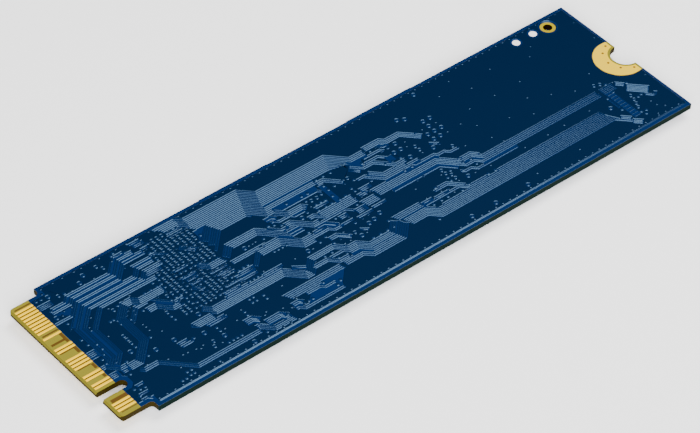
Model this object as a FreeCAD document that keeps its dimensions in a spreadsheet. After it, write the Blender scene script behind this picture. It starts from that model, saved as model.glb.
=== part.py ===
import FreeCAD, Part
import Sketcher
import math
import os

# A bare-backed solid state drive on an M.2 2280 card with key M, 22 mm wide and 80 mm long.
# The card lies on the tops of its chips with its bare face up, as it is looked at.
# X runs along the card from the contacts to the mounting notch and Y runs across it.
# The origin is under the middle of the card, on the surface that it rests on.
# Places along the card are measured from the card edge, and a negative one from the far end.

SIZES = [
    # the card itself
    ("board_length", 80.0),
    ("board_width", 22.0),
    ("board_thickness", 0.8),
    ("mask_thickness", 0.025),
    ("copper_thickness", 0.035),
    ("edge_margin", 0.5),
    ("end_margin", 0.32),
    ("edge_relief", 0.07),
    ("tab_length", 9.5),
    ("first_tab_start", 26.2),
    ("second_tab_start", 47.2),
    # the contact tongue
    ("tongue_length", 4.0),
    ("shoulder_step", 1.075),
    ("tongue_corner", 0.5),
    ("shoulder_round", 0.5),
    ("bevel", 0.2),
    ("mask_start", 2.5),
    ("key_width", 1.2),
    ("key_depth", 3.5),
    ("contact_side_margin", 0.675),
    ("contact_width", 0.35),
    ("contact_start", 0.24),
    ("contact_thickness", 0.05),
    # the mounting notch and the corner hole
    ("notch_radius", 1.75),
    ("notch_pad_radius", 3.1),
    ("notch_pad_inset", 0.9),
    ("notch_pad_lip", 0.28),
    ("plating", 0.04),
    ("mask_clearance", 0.06),
    ("hole_radius", 0.55),
    ("hole_ring_width", 0.38),
    ("hole_from_end", 3.75),
    ("hole_from_edge", 1.85),
    ("test_pad_radius", 0.53),
    ("test_pad_height", 0.04),
    ("test_pad_from_end", 5.9),
    ("test_pad_spacing", 2.6),
    ("test_pad_from_edge", 1.65),
    # tracks and the copper round them
    ("track_width", 0.14),
    ("bus_pitch", 0.25),
    ("fine_pitch", 0.225),
    ("comb_pitch", 0.5),
    ("track_clearance", 0.13),
    ("smallest_island", 0.6),
    # chip packages
    ("package_height", 1.2),
    ("ball_height", 0.22),
    ("ball_width", 0.4),
    ("substrate_height", 0.26),
    ("mould_inset", 0.12),
    ("mould_edge", 0.08),
    ("controller_length", 12.0),
    ("controller_width", 13.0),
    ("controller_from_edge", 19.0),
    ("controller_across", 3.7),
    ("controller_ball_pitch", 0.8),
    ("memory_length", 8.0),
    ("memory_width", 12.6),
    ("memory_across", 1.0),
    ("memory_ball_pitch", 0.8),
    ("flash_length", 13.5),
    ("flash_width", 11.5),
    ("flash_ball_pitch", 1.0),
    ("flash_across", -0.6),
    ("far_flash_from_end", 14.0),
    ("package_gap", 2.0),
    # parts of the power supply and the clock
    ("power_chip_side", 5.0),
    ("power_chip_height", 0.85),
    ("power_chip_from_edge", 10.2),
    ("power_chip_across", -5.4),
    ("land_length", 0.4),
    ("land_width", 0.24),
    ("land_pitch", 0.5),
    ("land_height", 0.15),
    ("inductor_length", 2.5),
    ("inductor_width", 2.0),
    ("inductor_height", 1.0),
    ("inductor_terminal", 0.45),
    ("inductor_edge", 0.15),
    ("boot_chip_length", 6.0),
    ("boot_chip_width", 5.0),
    ("boot_chip_height", 0.75),
    ("boot_chip_from_edge", 21.4),
    ("boot_chip_across", -6.9),
    ("boot_land_pitch", 1.27),
    ("crystal_length", 3.2),
    ("crystal_width", 2.5),
    ("crystal_height", 0.7),
    ("crystal_base_height", 0.3),
    ("crystal_lid_inset", 0.15),
    ("crystal_corner", 0.3),
    ("crystal_from_edge", 9.0),
    ("crystal_across", 8.2),
    ("regulator_length", 2.9),
    ("regulator_width", 1.6),
    ("regulator_height", 1.0),
    ("regulator_standoff", 0.1),
    ("regulator_draft", 0.12),
    ("regulator_from_edge", 8.6),
    ("regulator_across", 4.4),
    ("lead_pitch", 0.95),
    ("lead_width", 0.4),
    ("lead_thickness", 0.13),
    ("lead_reach", 0.6),
    ("lead_foot", 0.35),
    # small parts, each with a metal cap at both ends
    ("small_length", 1.0),
    ("small_width", 0.5),
    ("small_height", 0.5),
    ("small_cap", 0.22),
    ("resistor_height", 0.35),
    ("large_length", 2.0),
    ("large_width", 1.25),
    ("large_height", 0.85),
    ("large_cap", 0.4),
    ("cap_skin", 0.02),
]

# The socket's 75 positions alternate between the two faces, and the key takes eight of them.
PIN_STEPS = 74
KEY_STEPS = 24.5
# Places across the card are given for this width, and follow the card's real one.
LAYOUT_WIDTH = 22.0

doc = FreeCAD.newDocument("solid_state_drive")
sheet = doc.addObject("Spreadsheet::Sheet", "sizes")
for row, (alias, number) in enumerate(SIZES, start=1):
    sheet.set("A%d" % row, alias)
    sheet.set("B%d" % row, str(number))
    sheet.setAlias("B%d" % row, alias)
doc.recompute()

subparts = []


def size(alias):
    """Value of one driving dimension."""
    return float(sheet.get(alias))


def bind(target, **expressions):
    """Tie properties of an object to the sheet, with the names written as words."""
    for prop, expression in expressions.items():
        target.setExpression(prop, expression)


def place(target, along, across, level):
    """Put a piece at a place of the card, all three given as expressions."""
    target.setExpression(".Placement.Base.x", along)
    target.setExpression(".Placement.Base.y", across)
    target.setExpression(".Placement.Base.z", level)


def station(along):
    """X of a place along the card, from the card edge or, if negative, from the far end."""
    half = size("board_length") / 2
    return along - half if along >= 0 else half + along


def row(across):
    """Y of a place across the card."""
    return across * size("board_width") / LAYOUT_WIDTH


# Widths that follow the card's own.
TONGUE_WIDTH = "(sizes.board_width - 2 * sizes.shoulder_step)"
PIN_STEP = "((sizes.board_width - 2 * sizes.shoulder_step - 2 * sizes.contact_side_margin) / %d)" % PIN_STEPS
KEY_ACROSS = "-%s * %s" % (KEY_STEPS, PIN_STEP)
ACROSS = "sizes.board_width / %s * " % LAYOUT_WIDTH
tongue_width = size("board_width") - 2 * size("shoulder_step")
pin_step = (tongue_width - 2 * size("contact_side_margin")) / PIN_STEPS

# Levels of the layers, from the surface that the chips rest on to the bare face.
CARD_START = "-sizes.board_length / 2"
CARD_END = "sizes.board_length / 2"
UNDER_FACE = "sizes.package_height"
LAMINATE_BOTTOM = "(sizes.package_height + sizes.mask_thickness)"
LAMINATE_THICKNESS = "(sizes.board_thickness - 2 * sizes.mask_thickness - sizes.copper_thickness)"
LAMINATE_TOP = "(sizes.package_height + sizes.board_thickness - sizes.mask_thickness - sizes.copper_thickness)"
under_face = size("package_height")
laminate_bottom = under_face + size("mask_thickness")
bare_face = under_face + size("board_thickness")
film_top = bare_face - size("copper_thickness")
laminate_top = film_top - size("mask_thickness")
card_end = size("board_length") / 2
half_width = size("board_width") / 2


# Sketches and features for bodies

def origin_plane(body, role):
    """One of the body's own origin planes."""
    return next(f for f in body.Origin.OriginFeatures if f.Role == role)


def new_sketch(body, name, along, across, level="0"):
    """Sketch on the body's XY plane, moved to a place given as expressions."""
    sketch = body.newObject("Sketcher::SketchObject", name)
    sketch.AttachmentSupport = [(origin_plane(body, "XY_Plane"), "")]
    sketch.MapMode = "FlatFace"
    sketch.setExpression(".AttachmentOffset.Base.x", along)
    sketch.setExpression(".AttachmentOffset.Base.y", across)
    sketch.setExpression(".AttachmentOffset.Base.z", level)
    return sketch


def rectangle(body, name, length, width, along, across, level="0"):
    """Rectangle centred on a place, with its two sides tied to expressions."""
    sketch = new_sketch(body, name, along, across, level)
    corners = [(-1, -1), (1, -1), (1, 1), (-1, 1)]
    points = [FreeCAD.Vector(x, y, 0) for x, y in corners]
    for i in range(4):
        sketch.addGeometry(Part.LineSegment(points[i], points[(i + 1) % 4]), False)
    for i in range(4):
        sketch.addConstraint(Sketcher.Constraint("Coincident", i, 2, (i + 1) % 4, 1))
    for i in (0, 2):
        sketch.addConstraint(Sketcher.Constraint("Horizontal", i))
    for i in (1, 3):
        sketch.addConstraint(Sketcher.Constraint("Vertical", i))
    sketch.addConstraint(Sketcher.Constraint("Symmetric", 0, 1, 2, 1, -1, 1))
    for label, line, expression in (("long", 0, length), ("wide", 1, width)):
        number = sketch.addConstraint(Sketcher.Constraint("Distance", line, 2.0))
        sketch.renameConstraint(number, label)
        sketch.setExpression("Constraints." + label, expression)
    return sketch


def circle(body, name, radius, along, across, level="0"):
    """Circle centred on a place, with its radius tied to an expression."""
    sketch = new_sketch(body, name, along, across, level)
    sketch.addGeometry(Part.Circle(FreeCAD.Vector(0, 0, 0), FreeCAD.Vector(0, 0, 1), 1.0), False)
    sketch.addConstraint(Sketcher.Constraint("Coincident", 0, 3, -1, 1))
    number = sketch.addConstraint(Sketcher.Constraint("Radius", 0, 1.0))
    sketch.renameConstraint(number, "round")
    sketch.setExpression("Constraints.round", radius)
    return sketch


def pad(body, sketch, height):
    """Pad of a sketch up to a height given as an expression."""
    feature = body.newObject("PartDesign::Pad", sketch.Name + "_pad")
    feature.Profile = sketch
    feature.setExpression("Length", height)
    sketch.Visibility = False
    doc.recompute()
    return feature


def pocket(body, sketch):
    """Pocket of a sketch through the whole body, which has to lose volume by it."""
    before = body.Shape.Volume
    feature = body.newObject("PartDesign::Pocket", sketch.Name + "_pocket")
    feature.Profile = sketch
    feature.Type = "ThroughAll"
    feature.Midplane = True
    sketch.Visibility = False
    doc.recompute()
    if body.Shape.Volume >= before:
        raise RuntimeError("pocket %s cuts nothing" % sketch.Name)
    return feature


def edges_at(shape, places):
    """Names of the upright edges that stand at the given XY places of the shape."""
    names = []
    for number, edge in enumerate(shape.Edges, start=1):
        points = [v.Point for v in edge.Vertexes]
        upright = len(points) == 2 and abs(points[0].z - points[1].z) > 1e-6
        if not upright or math.hypot(points[0].x - points[1].x, points[0].y - points[1].y) > 1e-6:
            continue
        if any(math.hypot(points[0].x - x, points[0].y - y) < 1e-4 for x, y in places):
            names.append("Edge%d" % number)
    return names


def round_edges(body, places, radius):
    """Fillet the upright edges of a body that stand at the given XY places."""
    last = body.Tip
    names = edges_at(body.Shape, places)
    if len(names) != len(places):
        raise RuntimeError("%s: %d of %d edges found" % (body.Label, len(names), len(places)))
    feature = body.newObject("PartDesign::Fillet", body.Name + "_fillet")
    feature.Base = (last, names)
    feature.setExpression("Radius", radius)
    body.Tip = feature
    doc.recompute()


def chamfer_edges(body, names, size_of_cut):
    """Chamfer the named edges of the last feature of a body."""
    last = body.Tip
    feature = body.newObject("PartDesign::Chamfer", body.Name + "_chamfer")
    feature.Base = (last, names)
    feature.setExpression("Size", size_of_cut)
    body.Tip = feature
    doc.recompute()


def level_edges(shape, level):
    """Names of the edges that lie in the plane Z = level."""
    names = []
    for number, edge in enumerate(shape.Edges, start=1):
        if all(abs(v.Point.z - level) < 1e-6 for v in edge.Vertexes):
            names.append("Edge%d" % number)
    return names


def new_body(label):
    """Body whose label names a piece of the drive."""
    body = doc.addObject("PartDesign::Body", label)
    body.Label = label
    subparts.append(body)
    return body


# The card: a laminate with a film of solder mask on each face

def card_layer(label, start, level, thickness, notch_radius, notch_inset, hole_radius):
    """Layer with the outline of the card, from a place near the card edge to the far end."""
    body = new_body(label)
    length = "sizes.board_length - " + start
    middle = "(sizes.board_length + %s) / 2" % start
    pad(body, rectangle(body, label + "_blank", length, "sizes.board_width", middle, "0"), thickness)
    # The contacts stand on a tongue that is narrower than the card.
    for side, sign in (("left", ""), ("right", "-")):
        across = sign + "(sizes.board_width - sizes.shoulder_step) / 2"
        corner = rectangle(body, "%s_%s_shoulder" % (label, side), "2 * sizes.tongue_length",
                           "sizes.shoulder_step", "0", across)
        pocket(body, corner)
    # The key is a slot with a round end.
    slot = rectangle(body, label + "_key", "2 * (sizes.key_depth - sizes.key_width / 2)", "sizes.key_width",
                     "0", KEY_ACROSS)
    pocket(body, slot)
    end = circle(body, label + "_key_end", "sizes.key_width / 2", "sizes.key_depth - sizes.key_width / 2",
                 KEY_ACROSS)
    pocket(body, end)
    # A half-round notch at the far end takes the mounting screw, and a hole stands in one corner.
    pocket(body, circle(body, label + "_notch", notch_radius, "sizes.board_length - " + notch_inset, "0"))
    pocket(body, circle(body, label + "_hole", hole_radius, "sizes.board_length - sizes.hole_from_end",
                        "sizes.board_width / 2 - sizes.hole_from_edge"))
    # The cutter leaves two break-off tabs a little proud of one long edge.
    first_end = "(sizes.first_tab_start + sizes.tab_length)"
    second_end = "(sizes.second_tab_start + sizes.tab_length)"
    stretches = [("0", "sizes.first_tab_start"), (first_end, "sizes.second_tab_start"),
                 (second_end, "sizes.board_length")]
    for number, (low, high) in enumerate(stretches):
        sketch = rectangle(body, "%s_relief_%d" % (label, number), "%s - %s" % (high, low),
                           "2 * sizes.edge_relief", "(%s + %s) / 2" % (low, high), "sizes.board_width / 2")
        pocket(body, sketch)
    place(body, CARD_START, "0", level)
    return body


laminate = card_layer("board_laminate", "0", LAMINATE_BOTTOM, LAMINATE_THICKNESS,
                      "sizes.notch_radius", "0", "sizes.hole_radius + sizes.plating")
doc.recompute()
shoulder_places = [(station(size("tongue_length")), side * tongue_width / 2) for side in (1, -1)]
round_edges(laminate, shoulder_places, "sizes.shoulder_round")
corner_places = [(station(0), side * tongue_width / 2) for side in (1, -1)]
round_edges(laminate, corner_places, "sizes.tongue_corner")
for face, level, sign in (("upper", LAMINATE_THICKNESS, -1), ("lower", "0", 1)):
    wedge = laminate.newObject("Sketcher::SketchObject", face + "_bevel")
    wedge.AttachmentSupport = [(origin_plane(laminate, "XZ_Plane"), "")]
    wedge.MapMode = "FlatFace"
    wedge.setExpression(".AttachmentOffset.Base.y", level)
    tips = [FreeCAD.Vector(0, 0, 0), FreeCAD.Vector(1, 0, 0), FreeCAD.Vector(0, sign, 0)]
    for number in range(3):
        wedge.addGeometry(Part.LineSegment(tips[number], tips[(number + 1) % 3]), False)
    for number in range(3):
        wedge.addConstraint(Sketcher.Constraint("Coincident", number, 2, (number + 1) % 3, 1))
    wedge.addConstraint(Sketcher.Constraint("Coincident", 0, 1, -1, 1))
    wedge.addConstraint(Sketcher.Constraint("Horizontal", 0))
    wedge.addConstraint(Sketcher.Constraint("Vertical", 2))
    for line, name in ((0, "run"), (2, "rise")):
        number = wedge.addConstraint(Sketcher.Constraint("Distance", line, 1.0))
        wedge.renameConstraint(number, name)
        wedge.setExpression("Constraints." + name, "sizes.bevel")
    pocket(laminate, wedge)

PAD_OPENING = "sizes.notch_pad_radius + sizes.mask_clearance"
RING_OPENING = "sizes.hole_radius + sizes.hole_ring_width + sizes.mask_clearance"
bare_mask = card_layer("solder_mask_bare_side", "sizes.mask_start", LAMINATE_TOP, "sizes.mask_thickness",
                       PAD_OPENING, "sizes.notch_pad_inset", RING_OPENING)
for number in range(2):
    away = "sizes.board_length - sizes.test_pad_from_end - %d * sizes.test_pad_spacing" % number
    pocket(bare_mask, circle(bare_mask, "test_opening_%d" % number, "sizes.test_pad_radius + sizes.mask_clearance",
                             away, "sizes.board_width / 2 - sizes.test_pad_from_edge"))
card_layer("solder_mask_component_side", "sizes.mask_start", UNDER_FACE, "sizes.mask_thickness",
           PAD_OPENING, "sizes.notch_pad_inset", RING_OPENING)


# Flat pieces raised from outlines

def raise_outlines(label, outlines, level, height):
    """Group of separate solids, one on each outline at a level, up to a height given as an expression."""
    flat = doc.addObject("Part::Feature", label + "_outlines")
    flat.Shape = Part.makeCompound([outline_face(points, level) for points in outlines])
    return extrude(label, flat, height)


def extrude(label, flat, height):
    """Extrusion of flat faces straight up."""
    raised = doc.addObject("Part::Extrusion", label)
    raised.Label = label
    raised.Base = flat
    raised.DirMode = "Custom"
    raised.Dir = FreeCAD.Vector(0, 0, 1)
    raised.Solid = True
    raised.setExpression("LengthFwd", height)
    subparts.append(raised)
    return raised


def outline_face(points, level):
    """Flat face inside a closed outline."""
    corners = [FreeCAD.Vector(x, y, level) for x, y in points]
    return Part.Face(Part.makePolygon(corners + corners[:1]))


def box_outline(along, across, length, width):
    """Outline of a rectangle that is centred on a place."""
    x0, x1 = along - length / 2, along + length / 2
    y0, y1 = across - width / 2, across + width / 2
    return [(x0, y0), (x1, y0), (x1, y1), (x0, y1)]


# Gold contacts on both faces of the tongue, numbered as the socket numbers them

def contact_outline(pin):
    """Outline of the contact of one pin, from the bevel to the start of the mask."""
    start = station(size("contact_start"))
    end = station(size("mask_start"))
    across = (PIN_STEPS / 2 + 1 - pin) * pin_step
    return box_outline((start + end) / 2, across, end - start, size("contact_width"))


BARE_PINS = [n for n in range(2, 76, 2)
             if n not in (20, 24, 26, 28, 34, 36, 46, 48, 54, 60, 62, 64, 66, 68)]
COMPONENT_PINS = [n for n in range(1, 76, 2) if n not in (59, 61, 63, 65)]
raise_outlines("edge_contacts_bare_side", [contact_outline(n) for n in BARE_PINS], laminate_top,
               "sizes.contact_thickness")
raise_outlines("edge_contacts_component_side", [contact_outline(n) for n in COMPONENT_PINS],
               laminate_bottom - size("contact_thickness"), "sizes.contact_thickness")


# Bare metal of the far end: pads round the notch, the plated corner hole and two round pads

def cylinder(name, radius, height, along, across, level):
    """Upright cylinder, all sizes and places given as expressions."""
    piece = doc.addObject("Part::Cylinder", name)
    bind(piece, Radius=radius, Height=height)
    place(piece, along, across, level)
    return piece


def notch_pad(name, level, thickness):
    """Bare pad round the mounting notch, set back from the cut edges of the card."""
    disc = cylinder(name + "_disc", "sizes.notch_pad_radius", thickness,
                    CARD_END + " - sizes.notch_pad_inset", "0", level)
    inside = doc.addObject("Part::Box", name + "_inside")
    bind(inside, Length="2 * sizes.notch_pad_radius", Width="4 * sizes.notch_pad_radius", Height=thickness)
    place(inside, CARD_END + " - sizes.notch_pad_lip - 2 * sizes.notch_pad_radius",
          "-2 * sizes.notch_pad_radius", level)
    trimmed = doc.addObject("Part::Common", name + "_trimmed")
    trimmed.Base = disc
    trimmed.Tool = inside
    pad_piece = doc.addObject("Part::Cut", name)
    pad_piece.Base = trimmed
    pad_piece.Tool = cylinder(name + "_notch", "sizes.notch_radius + sizes.notch_pad_lip", thickness,
                              CARD_END, "0", level)
    return pad_piece


notch_pads = doc.addObject("Part::Compound", "mounting_notch_pads")
notch_pads.Label = "mounting_notch_pads"
notch_pads.Links = [notch_pad("upper_notch_pad", LAMINATE_TOP, "sizes.copper_thickness"),
                    notch_pad("lower_notch_pad", UNDER_FACE, "sizes.mask_thickness")]
subparts.append(notch_pads)

HOLE_ALONG = CARD_END + " - sizes.hole_from_end"
HOLE_ACROSS = "sizes.board_width / 2 - sizes.hole_from_edge"
# The plated hole is a barrel through the laminate with a ring on each face, all one metal.
hole_wall = cylinder("hole_wall", "sizes.hole_radius + sizes.plating", LAMINATE_THICKNESS,
                     HOLE_ALONG, HOLE_ACROSS, LAMINATE_BOTTOM)
hole_rings = [cylinder(name, "sizes.hole_radius + sizes.hole_ring_width", thickness, HOLE_ALONG, HOLE_ACROSS, level)
              for name, level, thickness in (("hole_upper_ring", LAMINATE_TOP, "sizes.copper_thickness"),
                                             ("hole_lower_ring", UNDER_FACE, "sizes.mask_thickness"))]
hole_metal = doc.addObject("Part::MultiFuse", "hole_metal")
hole_metal.Shapes = [hole_wall] + hole_rings
hole_plating = doc.addObject("Part::Cut", "corner_hole_plating")
hole_plating.Label = "corner_hole_plating"
hole_plating.Base = hole_metal
hole_plating.Tool = cylinder("hole_bore", "sizes.hole_radius", "4 * sizes.board_thickness", HOLE_ALONG,
                             HOLE_ACROSS, "sizes.package_height - sizes.board_thickness")
hole_plating.Refine = True
subparts.append(hole_plating)

test_pads = doc.addObject("Part::Compound", "round_test_pads")
test_pads.Label = "round_test_pads"
test_pads.Links = [cylinder("test_pad_%d" % number, "sizes.test_pad_radius", "sizes.test_pad_height",
                            CARD_END + " - sizes.test_pad_from_end - %d * sizes.test_pad_spacing" % number,
                            "sizes.board_width / 2 - sizes.test_pad_from_edge", LAMINATE_TOP)
                   for number in range(2)]
subparts.append(test_pads)


# Tracks of the bare face. Each bundle is a count of tracks side by side, the step from one to
# the next, how far their two ends slant, and the route of the first. The others lie to its right.

BUS = row(size("bus_pitch"))
FINE = row(size("fine_pitch"))
COMB = row(size("comb_pitch"))
SQUARE = (0, 0)

HOST_LINK = [
    (1, BUS, SQUARE, [(3.7, 7.15), (5.35, 7.15), (6.0, 7.8), (11.65, 7.8), (13.4, 9.55), (14.6, 9.55)]),
    (2, BUS, SQUARE, [(3.4, 6.77), (5.6, 6.77), (6.24, 7.41), (11.85, 7.41), (13.5, 9.06), (15.5, 9.06)]),
    (1, BUS, SQUARE, [(2.6, 5.0), (4.75, 5.0), (6.35, 6.6), (11.9, 6.6), (13.7, 8.4), (16.4, 8.4)]),
    (1, BUS, SQUARE, [(3.75, 3.65), (6.45, 6.35), (12.0, 6.35), (13.65, 8.0), (16.5, 8.0)]),
    (2, BUS, SQUARE, [(3.35, -2.9), (3.85, -2.4), (3.85, 3.12), (6.5, 5.77), (13.45, 5.77), (14.38, 6.7),
                      (16.5, 6.7)]),
    (2, BUS, SQUARE, [(3.6, -3.35), (4.5, -2.45), (4.5, 2.75), (6.75, 5.0), (13.95, 5.0), (14.75, 5.8),
                      (17.0, 5.8)]),
    (2, BUS, SQUARE, [(4.1, -3.6), (5.3, -2.4), (5.3, 1.9), (7.8, 4.4), (15.2, 4.4)]),
    (2, BUS, SQUARE, [(2.6, -3.05), (3.05, -3.05), (4.2, -4.2), (4.85, -4.2)]),
]
CONTROLLER_FANOUT = [
    (4, FINE, SQUARE, [(5.0, -4.4), (6.15, -4.4), (8.2, -2.35), (8.2, 1.65), (9.9, 3.35), (11.1, 3.35),
                       (11.75, 2.7), (14.7, 2.7)]),
    (2, BUS, (0, -0.5), [(9.3, 0.6), (10.7, 2.0), (12.3, 2.0)]),
    (1, BUS, SQUARE, [(12.7, 1.85), (14.5, 0.05), (15.6, 0.05)]),
    (3, BUS, SQUARE, [(11.6, 1.0), (12.7, 1.0), (14.0, -0.3), (14.8, -0.3)]),
    (1, BUS, SQUARE, [(14.2, 7.1), (16.6, 7.1), (16.75, 7.25), (17.3, 7.25), (18.0, 6.55)]),
    (3, BUS, (0, 0.5), [(20.0, 3.05), (20.9, 2.15), (22.4, 2.15)]),
]
UPPER_BUS = [
    (2, BUS, (0.3, 0), [(19.3, 10.38), (22.15, 10.38), (22.95, 9.58), (30.3, 9.58), (31.85, 8.03), (41.45, 8.03),
                        (43.5, 5.98), (45.3, 5.98)]),
    (1, BUS, SQUARE, [(19.8, 9.88), (22.2, 9.88), (23.0, 9.08), (30.1, 9.08), (31.65, 7.53), (41.25, 7.53),
                      (43.3, 5.48), (45.35, 5.48)]),
    (3, BUS, (0.3, -1.6), [(20.0, 9.63), (22.2, 9.63), (23.0, 8.83), (30.0, 8.83), (31.55, 7.28), (41.15, 7.28),
                           (42.75, 5.68)]),
    (3, BUS, (0.8, -1.4), [(22.7, 8.08), (29.7, 8.08), (31.25, 6.53), (40.85, 6.53), (41.75, 5.63)]),
    (3, BUS, SQUARE, [(22.6, 5.58), (24.35, 7.33), (29.38, 7.33), (31.1, 5.61), (37.9, 5.61)]),
    (3, BUS, (0.2, 0), [(22.8, 4.63), (24.75, 6.58), (29.07, 6.58), (30.8, 4.85), (31.55, 4.85)]),
    (1, BUS, SQUARE, [(22.8, 3.53), (25.1, 5.83), (28.7, 5.83), (29.1, 5.43)]),
    (1, BUS, SQUARE, [(31.7, 4.7), (32.35, 4.05), (37.25, 4.05), (37.6, 3.7)]),
    (3, BUS, SQUARE, [(31.6, 4.4), (32.65, 3.35), (34.5, 3.35), (34.9, 2.95)]),
    (2, BUS, SQUARE, [(38.05, 5.1), (38.95, 5.1), (40.55, 3.5)]),
    (3, FINE, SQUARE, [(45.75, 6.35), (48.05, 6.35), (48.55, 5.85), (50.5, 5.85), (52.35, 4.0)]),
    (1, BUS, SQUARE, [(44.7, 4.92), (47.0, 4.92), (47.3, 4.62)]),
    (2, BUS, SQUARE, [(42.75, 5.0), (43.8, 3.95), (45.15, 3.95), (47.05, 2.05), (48.2, 2.05)]),
]
MIDDLE_BUS = [
    (1, BUS, SQUARE, [(22.9, 2.3), (24.1, 3.5), (28.1, 3.5), (30.55, 1.05), (32.3, 1.05)]),
    (1, BUS, SQUARE, [(23.05, 2.05), (24.25, 3.25), (28.0, 3.25), (30.67, 0.58), (32.3, 0.58)]),
    (1, BUS, SQUARE, [(23.2, 1.8), (24.4, 3.0), (27.9, 3.0), (30.72, 0.18), (32.3, 0.18)]),
    (1, BUS, SQUARE, [(24.5, 2.75), (27.8, 2.75), (29.5, 1.05)]),
    (1, BUS, SQUARE, [(30.2, 3.2), (30.5, 3.2), (30.9, 2.8), (32.4, 2.8), (32.8, 2.4), (34.2, 2.4)]),
    (2, BUS, (0, -3.2), [(23.05, 1.05), (26.8, 1.05)]),
    (1, BUS, SQUARE, [(27.3, 0.87), (29.25, 0.87), (31.1, -0.98), (32.4, -0.98)]),
    (2, BUS, SQUARE, [(24.6, -0.93), (26.15, 0.62), (29.15, 0.62), (31.0, -1.23), (34.55, -1.23), (35.05, -1.73),
                      (35.8, -1.73)]),
    (2, BUS, SQUARE, [(26.3, 0.12), (28.95, 0.12), (30.8, -1.73), (32.2, -1.73)]),
    (2, BUS, SQUARE, [(31.2, 2.1), (31.9, 2.1), (33.7, 0.3), (34.4, 0.3)]),
    (1, BUS, SQUARE, [(31.3, 1.6), (31.7, 1.6), (33.45, -0.15), (37.8, -0.15), (38.5, -0.85)]),
    (3, BUS, SQUARE, [(35.2, 1.15), (39.7, 1.15)]),
    (2, BUS, SQUARE, [(33.9, 1.3), (34.55, 1.3), (35.45, 0.4), (39.8, 0.4)]),
    (4, BUS, (0.3, 0.2), [(40.05, -0.36), (41.8, -0.36)]),
]
LOWER_BUS = [
    (2, BUS, SQUARE, [(5.8, -5.67), (6.05, -5.92), (7.75, -5.92), (10.75, -8.92), (18.9, -8.92)]),
    (4, FINE, SQUARE, [(13.7, -4.1), (13.95, -3.85), (16.4, -3.85)]),
    (3, FINE, SQUARE, [(16.35, -2.5), (17.05, -3.2), (26.45, -3.2), (28.25, -5.0), (28.5, -5.0), (29.85, -3.65),
                       (33.15, -3.65), (34.35, -4.85), (35.45, -4.85), (36.52, -5.92), (39.43, -5.92),
                       (40.6, -4.75)]),
    (2, FINE, SQUARE, [(16.7, -3.525), (17.05, -3.875), (26.17, -3.875), (27.97, -5.675), (28.65, -5.675),
                       (29.325, -5.0), (31.3, -5.0), (32.25, -5.95), (33.5, -5.95)]),
    (1, BUS, SQUARE, [(19.45, -2.65), (22.3, -2.65)]),
    (1, BUS, SQUARE, [(19.2, -2.92), (26.6, -2.92)]),
    (1, BUS, SQUARE, [(20.2, -1.58), (24.1, -1.58)]),
    (3, BUS, (0.5, 0.3), [(24.2, -6.55), (31.8, -6.55)]),
    (1, BUS, SQUARE, [(24.6, -7.3), (28.6, -7.3)]),
    (2, BUS, (0, -0.5), [(26.3, -7.55), (28.1, -7.55), (28.5, -7.95), (29.9, -7.95)]),
    (2, BUS, SQUARE, [(24.0, -8.65), (24.4, -8.65), (24.9, -9.15), (30.1, -9.15)]),
    (3, FINE, (0, 0.3), [(19.05, -8.25), (19.35, -8.25), (20.55, -9.45), (22.9, -9.45)]),
    (1, BUS, SQUARE, [(31.9, -5.05), (33.55, -5.05), (34.03, -5.53), (35.2, -5.53), (36.33, -6.66), (39.75, -6.66),
                      (41.2, -5.21)]),
    (1, BUS, SQUARE, [(34.0, -5.78), (35.1, -5.78), (36.23, -6.91), (39.85, -6.91), (41.3, -5.46)]),
    (3, BUS, SQUARE, [(32.5, -6.4), (35.1, -6.4), (35.9, -7.16), (39.95, -7.16), (41.4, -5.71)]),
]
FLASH_BUS = [
    (1, BUS, SQUARE, [(42.1, 0.37), (46.9, 0.37)]),
    (2, BUS, SQUARE, [(42.3, 0.12), (50.95, 0.12), (53.0, -1.93), (54.55, -1.93), (55.5, -2.88), (-7.4, -2.88)]),
    (2, BUS, SQUARE, [(42.4, -0.38), (50.75, -0.38), (53.1, -2.73), (54.3, -2.73), (54.97, -3.4), (-7.3, -3.4)]),
    (1, BUS, SQUARE, [(44.0, -1.23), (50.55, -1.23), (52.0, -2.68)]),
    (1, BUS, SQUARE, [(51.95, -3.35), (52.25, -3.65), (53.15, -3.65), (53.7, -4.2), (59.5, -4.2)]),
    (2, BUS, SQUARE, [(43.7, 2.83), (44.85, 1.68), (47.8, 1.68)]),
    (1, BUS, SQUARE, [(42.0, 2.65), (43.05, 2.65), (44.55, 1.15), (49.4, 1.15)]),
    (1, BUS, SQUARE, [(42.8, 2.55), (44.45, 0.9), (48.4, 0.9), (48.7, 0.6), (51.35, 0.6), (51.65, 0.3),
                      (52.6, 0.3), (53.1, -0.2), (54.0, -0.2)]),
    (3, BUS, (0.4, 0.3), [(41.2, -4.45), (44.8, -4.45)]),
    (6, FINE, (0.4, 0.6), [(41.8, -5.3), (44.85, -5.3), (46.0, -6.45), (-9.1, -6.45)]),
    (1, BUS, SQUARE, [(45.2, -5.12), (50.05, -5.12), (50.9, -5.97), (-9.3, -5.97)]),
    (1, BUS, SQUARE, [(48.3, -3.78), (49.35, -3.78), (50.75, -5.18)]),
    (1, BUS, SQUARE, [(47.5, -4.03), (49.25, -4.03), (50.94, -5.72), (53.6, -5.72)]),
    (1, BUS, SQUARE, [(55.3, -5.72), (-9.4, -5.72)]),
    (1, BUS, SQUARE, [(46.9, -6.21), (-9.2, -6.21)]),
]
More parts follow.
